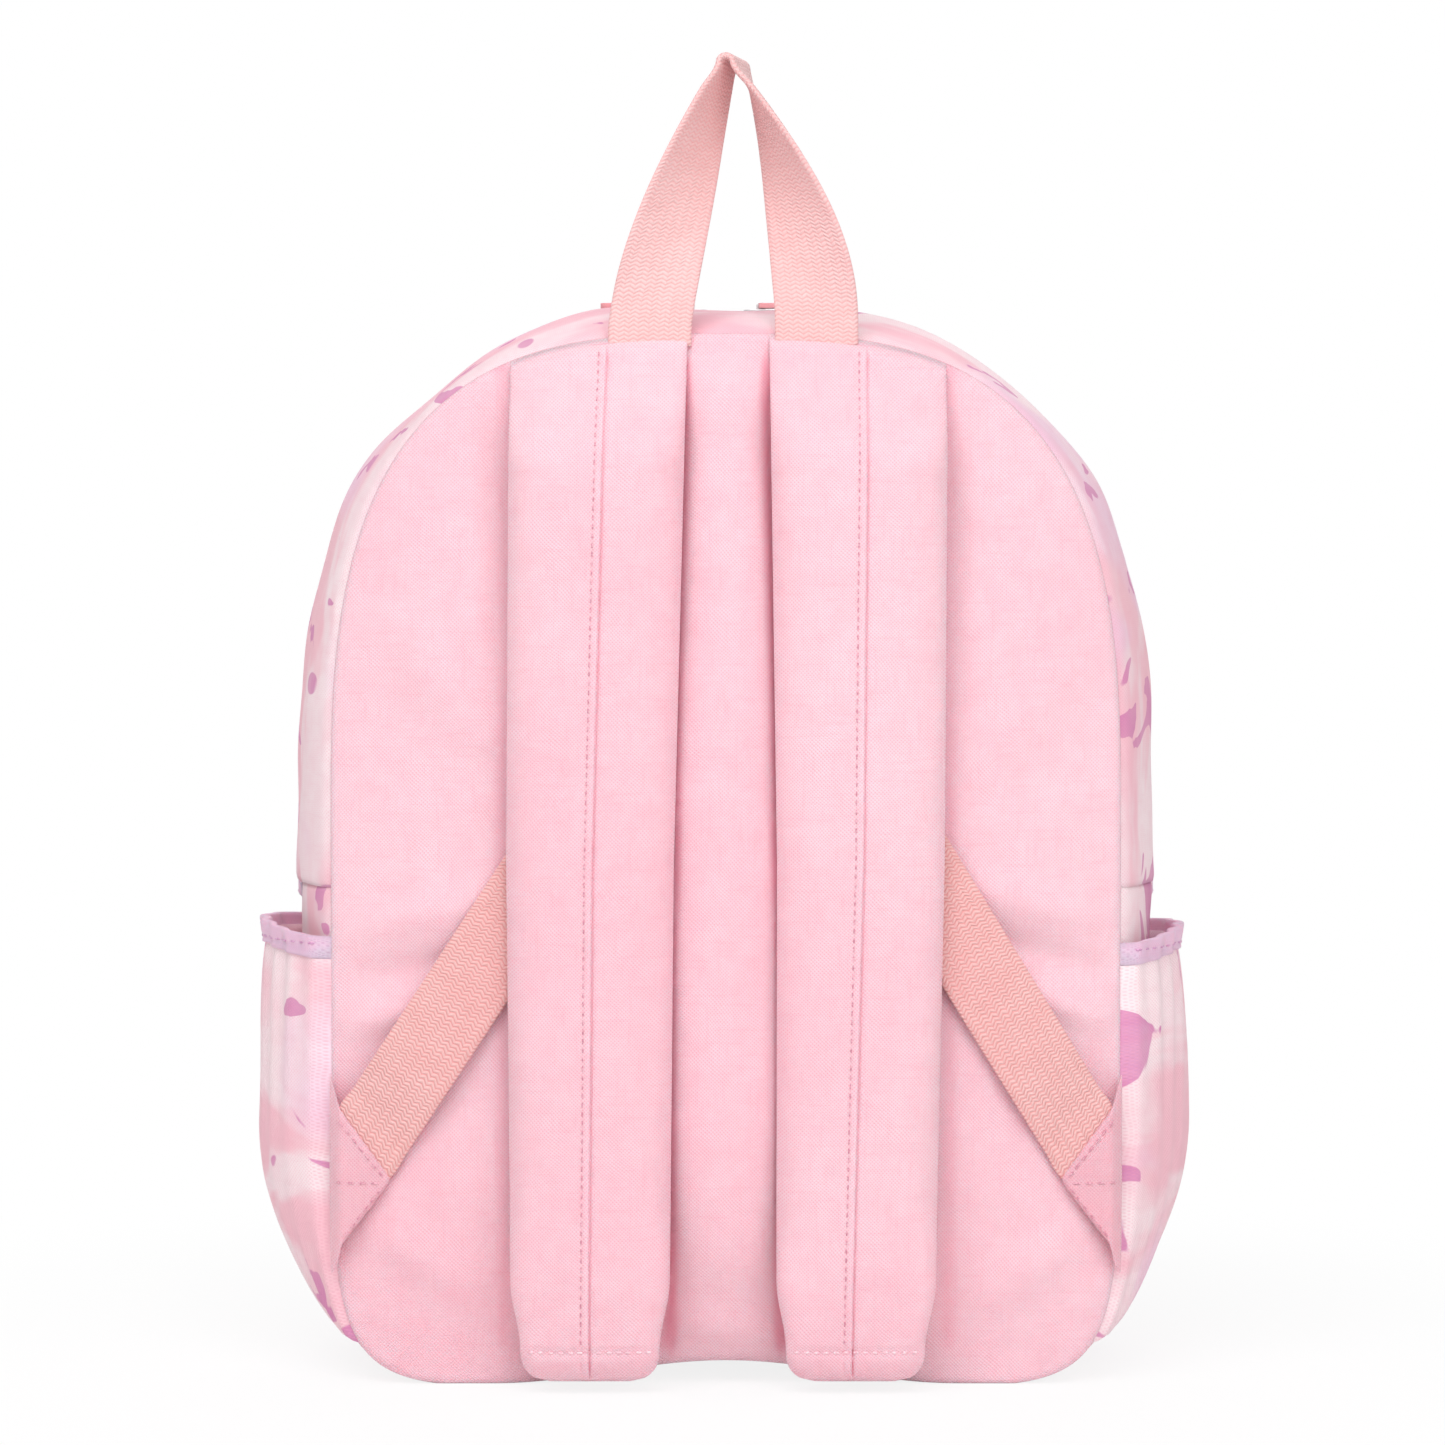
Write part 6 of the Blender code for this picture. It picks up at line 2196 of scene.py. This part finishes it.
class Bench:
    """The few hand operations that the hard pieces are modelled with."""

    @staticmethod
    def settle(name: str) -> Piece:
        """Name the new primitive and put its place and size into its mesh."""
        piece = bpy.context.object
        bpy.ops.object.transform_apply(location=True, rotation=True, scale=True)
        piece.name = piece.data.name = name
        return piece

    @classmethod
    def block(cls, name: str, low: Point, high: Point) -> Piece:
        """A block between two corners."""
        bpy.ops.object.select_all(action="DESELECT")
        middle = [(a + b) / 2 for a, b in zip(low, high)]
        bpy.ops.mesh.primitive_cube_add(size=1.0, location=middle)
        bpy.context.object.scale = [b - a for a, b in zip(low, high)]
        return cls.settle(name)

    @classmethod
    def rod(
        cls, name: str, centre: Point, radius: float, length: float, turn: Point, sides: int = 20
    ) -> Piece:
        """A round bar, along Z until it is turned."""
        bpy.ops.object.select_all(action="DESELECT")
        bpy.ops.mesh.primitive_cylinder_add(
            vertices=sides, radius=radius, depth=length, location=centre, rotation=turn
        )
        return cls.settle(name)

    @staticmethod
    def round_edges(
        piece: Piece, axis: int, least: float, size: float, steps: int,
        where: Optional[Callable[[Vector], bool]] = None,
    ) -> None:
        """Bevel some edges.

        Args:
            piece: The piece.
            axis: The axis that the edges run along.
            least: How far they run along it, at the least.
            size: The size of the bevel.
            steps: How many faces it has across.
            where: Whether an edge that starts at a point is one of them; left out for all.
        """

        def chosen(edge: bmesh.types.BMEdge) -> bool:
            """Whether an edge is rounded."""
            first, second = (end.co for end in edge.verts)
            return abs(first[axis] - second[axis]) > least and (where is None or where(first))

        with editing(piece, False):
            choose(piece, "EDGE", chosen)
            bpy.ops.mesh.bevel(offset=size, segments=steps, affect="EDGES")

    @staticmethod
    def sink(piece: Piece, test: Callable[[Vector], bool], inset: float, depth: float) -> None:
        """Inset the faces whose normal passes a test, and move the new ones in along it."""
        with editing(piece, False):
            choose(piece, "FACE", lambda face: test(face.normal))
            bpy.ops.mesh.inset(thickness=inset, depth=0.0)
            bpy.ops.mesh.inset(thickness=0.35 * depth, depth=-depth)

    @staticmethod
    def merge(
        piece: Piece, others: Sequence[Piece], way: str = "UNION"
    ) -> Piece:
        """Join others to a piece, or cut them out of it, and throw them away."""
        for other in others:
            finish_with(piece, "BOOLEAN", operation=way, object=other, solver="EXACT")
            discard(other)
        return piece

    @staticmethod
    def ease_edges(piece: Piece, size: float, degrees: float = 40.0) -> Piece:
        """Take the sharpness off every edge that is sharper than an angle."""
        limit = math.radians(degrees)
        finish_with(piece, "BEVEL", width=size, segments=2, limit_method="ANGLE", angle_limit=limit)
        return soften(piece, degrees)


@dataclass
class ZipHardware(Assembly):
    """A zip slider and the pull on its lug."""

    form: BagForm
    length: float = 0.011
    width: float = 0.0085
    plate: float = 0.0012
    play: float = 0.0012
    tape: float = 0.001
    lug_height: float = 0.0024
    lug_axis: float = 0.0013
    pull_length: float = 0.028
    pull_width: float = 0.006
    pull_thickness: float = 0.0016
    rib_count: int = 4
    rib_start: float = 0.0165
    rib_pitch: float = 0.0024
    rib_radius: float = 0.0006
    rib_length: float = 0.0042
    rib_sunk: float = 0.0003
    pin_radius: float = 0.00046
    pin_length: float = 0.0034
    neck: tuple[float, float] = (0.004, 0.0014)
    guide_x: tuple[float, float] = (-0.0030, 0.0036)
    guide_width: float = 0.0008
    lap: float = 0.0006
    lug: tuple[float, float] = (0.0030, 0.0018)
    lug_round: float = 0.0012
    heel_round: float = 0.0016
    nose_round: float = 0.0030
    hole_radius: float = 0.00062
    slider_edge: float = 0.00016
    pull_edge: float = 0.00022
    main_x: float = 0.011
    pocket_x: float = 0.070

    def slider(self, name: str, place: Matrix, heel: int, upward: bool) -> Piece:
        """A slider with two shield-shaped plates, its guides, its neck and a pierced lug.

        Args:
            name: The piece's name.
            place: Where it goes, from its own frame along the track.
            heel: The end, 1 or -1, at which the neck stands.
            upward: Whether the pull swings along the track or across it.

        Returns:
            The slider.
        """
        end, half, above = self.length / 2, self.width / 2, self.play
        below = -self.tape - self.play
        body = Bench.block(name, (-end, -half, above), (end, half, above + self.plate))
        under = Bench.block("under", (-end, -half, below - self.plate), (end, half, below))
        for plate in (body, under):
            Bench.round_edges(plate, 2, 0.5 * self.plate, self.heel_round, 4, lambda p: p.x * heel > 0)
            nose = self.nose_round
            Bench.round_edges(plate, 2, 0.5 * self.plate, nose, 5, lambda p: p.x * heel < -0.9 * end)
        Bench.sink(body, lambda normal: normal.z > 0.9, 0.0007, 0.00025)
        top, lap, neck = above + self.plate, self.lap, self.neck[1] / 2
        neck_low, neck_high = sorted((heel * end, heel * (end - self.neck[0])))
        extra = [Bench.block("neck", (neck_low, -neck, below - lap), (neck_high, neck, above + lap)), under]
        start, stop = self.guide_x
        for sign in (-1, 1):
            near, far = sorted((sign * (half - self.guide_width), sign * half))
            for low, high in ((above - 0.0005, above + lap), (below - lap, below + 0.0001)):
                extra.append(Bench.block("guide", (start, near, low), (stop, far, high)))
        along, across = self.lug if upward else self.lug[::-1]
        low, high = top - lap, top + self.lug_height
        lug = Bench.block("lug", (-along / 2, -across / 2, low), (along / 2, across / 2, high))
        axis, least = 1 if upward else 0, 0.5 * self.lug[1]
        Bench.round_edges(lug, axis, least, self.lug_round, 5, lambda p: p.z > top + 0.001)
        turn = (math.pi / 2, 0, 0) if upward else (0, math.pi / 2, 0)
        hole = Bench.rod("hole", (0, 0, top + self.lug_axis), self.hole_radius, 0.008, turn, 16)
        Bench.merge(lug, [hole], "DIFFERENCE")
        Bench.merge(body, [*extra, lug])
        Bench.ease_edges(body, self.slider_edge)
        body.data.transform(place)
        return body

    def pull(self, name: str, place: Matrix) -> Piece:
        """A moulded pull along its own X: a fork with a pin, a waisted grip and raised ribs."""
        half, thick = self.pull_width / 2, self.pull_thickness / 2
        grip = Bench.block(name, (-0.0008, -half, -thick), (self.pull_length, half, thick))
        Bench.round_edges(grip, 2, thick, 0.0026, 6, lambda p: p.x > 0.02)
        Bench.round_edges(grip, 2, thick, 0.0009, 3, lambda p: p.x < 0.0)
        waist = [Bench.rod("waist", (0.0105, s * 0.0098, 0), 0.0076, 0.01, (0, 0, 0), 48) for s in (-1, 1)]
        slot = Bench.block("slot", (-0.002, -0.0012, -0.002), (0.0026, 0.0012, 0.002))
        Bench.merge(grip, [*waist, slot], "DIFFERENCE")
        ribs, lying = [], (math.pi / 2, 0, 0)
        for step in range(self.rib_count):
            for s in (-1, 1):
                centre = (self.rib_start + self.rib_pitch * step, 0, s * (thick - self.rib_sunk))
                ribs.append(Bench.rod("rib", centre, self.rib_radius, self.rib_length, lying, 12))
        pin = Bench.rod("pin", (0, 0, 0), self.pin_radius, self.pin_length, lying, 12)
        Bench.merge(grip, [*ribs, pin])
        Bench.ease_edges(grip, self.pull_edge)
        grip.data.transform(place)
        return grip

    def build(self) -> None:
        """The two main sliders and the pocket slider, each with its pull."""
        form = self.form
        rise = self.play + self.plate + self.lug_axis
        for side in Side:
            label = side.label
            share = np.array(form.arch.over(side.value * self.main_x, form.arch.s))
            place = Vector(form.gusset(share, np.array(form.zip_y)))
            slider = self.slider(f"main_slider_body_{label}", Matrix.Translation(place), side.value, True)
            self.hand_over(slider, (NICKEL,), Ride(f"slider_{label}"), (f"main_slider_{label}",))
            turn = Matrix.Identity(4) if side is Side.RIGHT else Matrix.Rotation(math.pi, 4, "Z")
            hinge = Matrix.Translation(place + Vector((0, 0, rise)))
            pull = self.pull(f"main_pull_grip_{label}", hinge @ turn)
            self.hand_over(pull, (PINK_PLASTIC,), Ride(f"pull_{label}"), (f"main_pull_{label}",))
        pocket = FrontPocket(form)
        crown = pocket.crown * float(pocket.dome(self.pocket_x, pocket.zip_z))
        place = Vector((self.pocket_x, pocket.seam + form.cloth + crown, pocket.zip_z))
        lying = Matrix.Translation(place) @ Matrix.Rotation(-math.pi / 2, 4, "X")
        slider = self.slider("pocket_slider_body", lying, -1, False)
        self.hand_over(slider, (NICKEL,), Ride("pocket_slider"), ("pocket_slider",))
        hanging = Matrix(((0, -1, 0), (0, 0, 1), (-1, 0, 0))).to_4x4()
        pull = self.pull("pocket_pull_grip", Matrix.Translation(place + Vector((0, rise, 0))) @ hanging)
        self.hand_over(pull, (PINK_PLASTIC,), Ride("pocket_pull"), ("pocket_pull",))


@dataclass
class LadderLock(Assembly):
    """The moulded lock behind each strap's end: two rails and four bars that the webbing passes between."""

    side: Side
    x: float = LOCK_X
    y: float = LOCK_Y
    loop_z: float = LOCK_BAR_Z
    step: float = 0.0085
    slot: float = 0.0260
    rail: float = 0.0032
    rail_below: float = 0.0014
    rail_above: float = 0.0016
    bar: float = 0.0010
    offset: float = 0.0020

    def build(self) -> None:
        """The rails with rounded ends, and the bars between them."""
        x = self.side.value * self.x
        half, low = self.offset + self.bar, self.loop_z - self.rail_below
        high = self.loop_z + 3 * self.step + self.rail_above
        rails = []
        for near in (x - self.slot / 2 - self.rail, x + self.slot / 2):
            rail = Bench.block("rail", (near, self.y - half, low), (near + self.rail, self.y + half, high))
            Bench.round_edges(rail, 0, 0.001, 0.0014, 4)
            Bench.sink(rail, lambda normal: abs(normal.x) > 0.9, 0.0007, 0.0004)
            rails.append(rail)
        bars = []
        for index, shift in enumerate((0.0, self.offset, -self.offset, self.offset)):
            centre = (x, self.y + shift, self.loop_z + index * self.step)
            bars.append(Bench.rod("bar", centre, self.bar, self.slot + self.rail, (0, math.pi / 2, 0)))
        lock, label = Bench.merge(rails[0], [rails[1], *bars]), self.side.label
        lock.name = lock.data.name = f"ladder_lock_body_{label}"
        Bench.ease_edges(lock, 0.0003)
        self.hand_over(lock, (PINK_PLASTIC,), Ride(f"lock_{label}"), (f"ladder_lock_{label}",))


# The room


@dataclass
class Studio:
    """Camera, lamps, a pale floor and a white surround."""

    sensor: float = 36.0
    view_width: float = 0.4335
    distance: float = 1.5
    aim: Point = (-0.001, -0.060, 0.2000)
    drop: float = math.radians(1.9)
    surround: float = 0.47
    lit: Point = (0.0, 0.0, 0.17)
    floor_shadow: float = 0.15
    shadow_reach: tuple[float, float] = (0.16, 0.42)
    floor_size: float = 8.0
    floor_greys: tuple[float, float] = (0.93, 0.96)

    def camera(self) -> None:
        """Straight at the back of the bag, from a little above."""
        data = bpy.data.cameras.new("camera")
        data.sensor_width = self.sensor
        data.lens = self.sensor * self.distance / self.view_width
        data.clip_end = 50.0
        made = link(bpy.data.objects.new("camera", data))
        away = Vector((0.0, -math.cos(self.drop), math.sin(self.drop)))
        made.location = Vector(self.aim) + self.distance * away
        made.rotation_euler = (math.pi / 2 - self.drop, 0.0, 0.0)
        bpy.context.scene.camera = made

    def lamp(self, name: str, place: Point, power: float, size: tuple[float, float]) -> None:
        """A soft box that looks at the middle of the bag."""
        data = bpy.data.lights.new(name, "AREA")
        data.shape = "RECTANGLE"
        data.size, data.size_y = size
        data.energy = power
        made = link(bpy.data.objects.new(name, data))
        made.location = place
        made.rotation_euler = (Vector(self.lit) - Vector(place)).to_track_quat("-Z", "Y").to_euler()

    @staticmethod
    def seen(w: Wiring) -> Socket:
        """1 for what the camera sees, straight, mirrored or through glass."""
        path = w.node("ShaderNodeLightPath")
        some = w.math("MAXIMUM", path.outputs["Is Camera Ray"], path.outputs["Is Glossy Ray"])
        return w.math("MAXIMUM", some, path.outputs["Is Transmission Ray"])

    def floor(self) -> None:
        """A pale floor that keeps a faint shadow."""
        bpy.ops.object.select_all(action="DESELECT")
        bpy.ops.mesh.primitive_plane_add(size=self.floor_size, location=(0.0, 0.0, 0.0))
        floor = Bench.settle("floor")
        made = bpy.data.materials.new("pale_floor")
        made.use_nodes = True
        w = Wiring(made.node_tree)
        w.tree.nodes.remove(w.tree.nodes["Principled BSDF"])
        paint, glow = w.node("ShaderNodeBsdfDiffuse"), w.node("ShaderNodeEmission")
        place = w.node("ShaderNodeTexCoord").outputs["Object"]
        greys = [(grey, grey, grey, 1.0) for grey in self.floor_greys]
        w.feed(paint.inputs["Color"], w.blend(w.noise(place, 3.0), *greys))
        glow.inputs["Strength"].default_value = 1.0
        both = w.node("ShaderNodeMixShader")
        far = w.node("ShaderNodeVectorMath", operation="LENGTH")
        w.feed(far.inputs[0], place)
        shadow = w.step(far.outputs["Value"], *self.shadow_reach, self.floor_shadow, 0.0)
        w.feed(both.inputs[0], w.math("MULTIPLY", self.seen(w), w.math("SUBTRACT", 1.0, shadow)))
        w.feed(both.inputs[1], paint.outputs[0])
        w.feed(both.inputs[2], glow.outputs[0])
        w.feed(w.tree.nodes["Material Output"].inputs["Surface"], both.outputs[0])
        floor.data.materials.append(made)

    def world(self) -> None:
        """White to the eye, and a plain soft light to the bag."""
        world = bpy.data.worlds.new("surround")
        world.use_nodes = True
        w = Wiring(world.node_tree)
        sky = world.node_tree.nodes["Background"]
        sky.inputs["Color"].default_value = (1.0, 1.0, 1.0, 1.0)
        w.feed(sky.inputs["Strength"], w.step(self.seen(w), 0.0, 1.0, self.surround, 1.0))
        bpy.context.scene.world = world

    def build(self) -> None:
        """Set up the room."""
        self.camera()
        self.lamp("key", (-0.25, -1.25, 1.55), 22.0, (1.6, 1.0))
        self.lamp("fill", (0.75, -1.60, 0.70), 6.0, (1.2, 1.1))
        self.lamp("rim", (0.0, 1.60, 1.20), 8.0, (1.6, 0.9))
        self.floor()
        self.world()
        bpy.context.scene.view_settings.view_transform = "Standard"


def main() -> None:
    """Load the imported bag, dress it and light it."""
    logging.basicConfig(level=logging.INFO, format="%(name)s %(message)s")
    for obj in list(bpy.data.objects):
        bpy.data.objects.remove(obj)
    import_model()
    form = BagForm()
    BackPanel(form).build()
    Gusset(form).build()
    MainZip(form).build()
    FrontPanel(form).build()
    FrontPocket(form).build()
    leans = {Side.LEFT: (0.0010, 0.0010), Side.RIGHT: (0.0005, -0.0030)}
    folds = {Side.LEFT: (0.0415, 0.175), Side.RIGHT: (0.0410, 0.183)}
    seams = {Side.LEFT: (0.09, -0.02), Side.RIGHT: (0.10, -0.06)}
    pockets = {Side.LEFT: (0.0118, 0.32, 0.132), Side.RIGHT: (0.0092, 0.40, 0.130)}
    for side in Side:
        depth, gather, top_z = pockets[side]
        SidePocket(form, side, depth=depth, gather=gather, top_z=top_z).build()
        ShoulderStrap(form, side, lean=leans[side], seam=seams[side]).build()
        LadderLock(side).build()
        WebbingTab(form, side).build()
        LowerWebbing(form, side, fold=folds[side]).build()
    GrabHandle().build()
    ZipHardware(form).build()
    Studio().build()


if __name__ == "__main__":
    main()
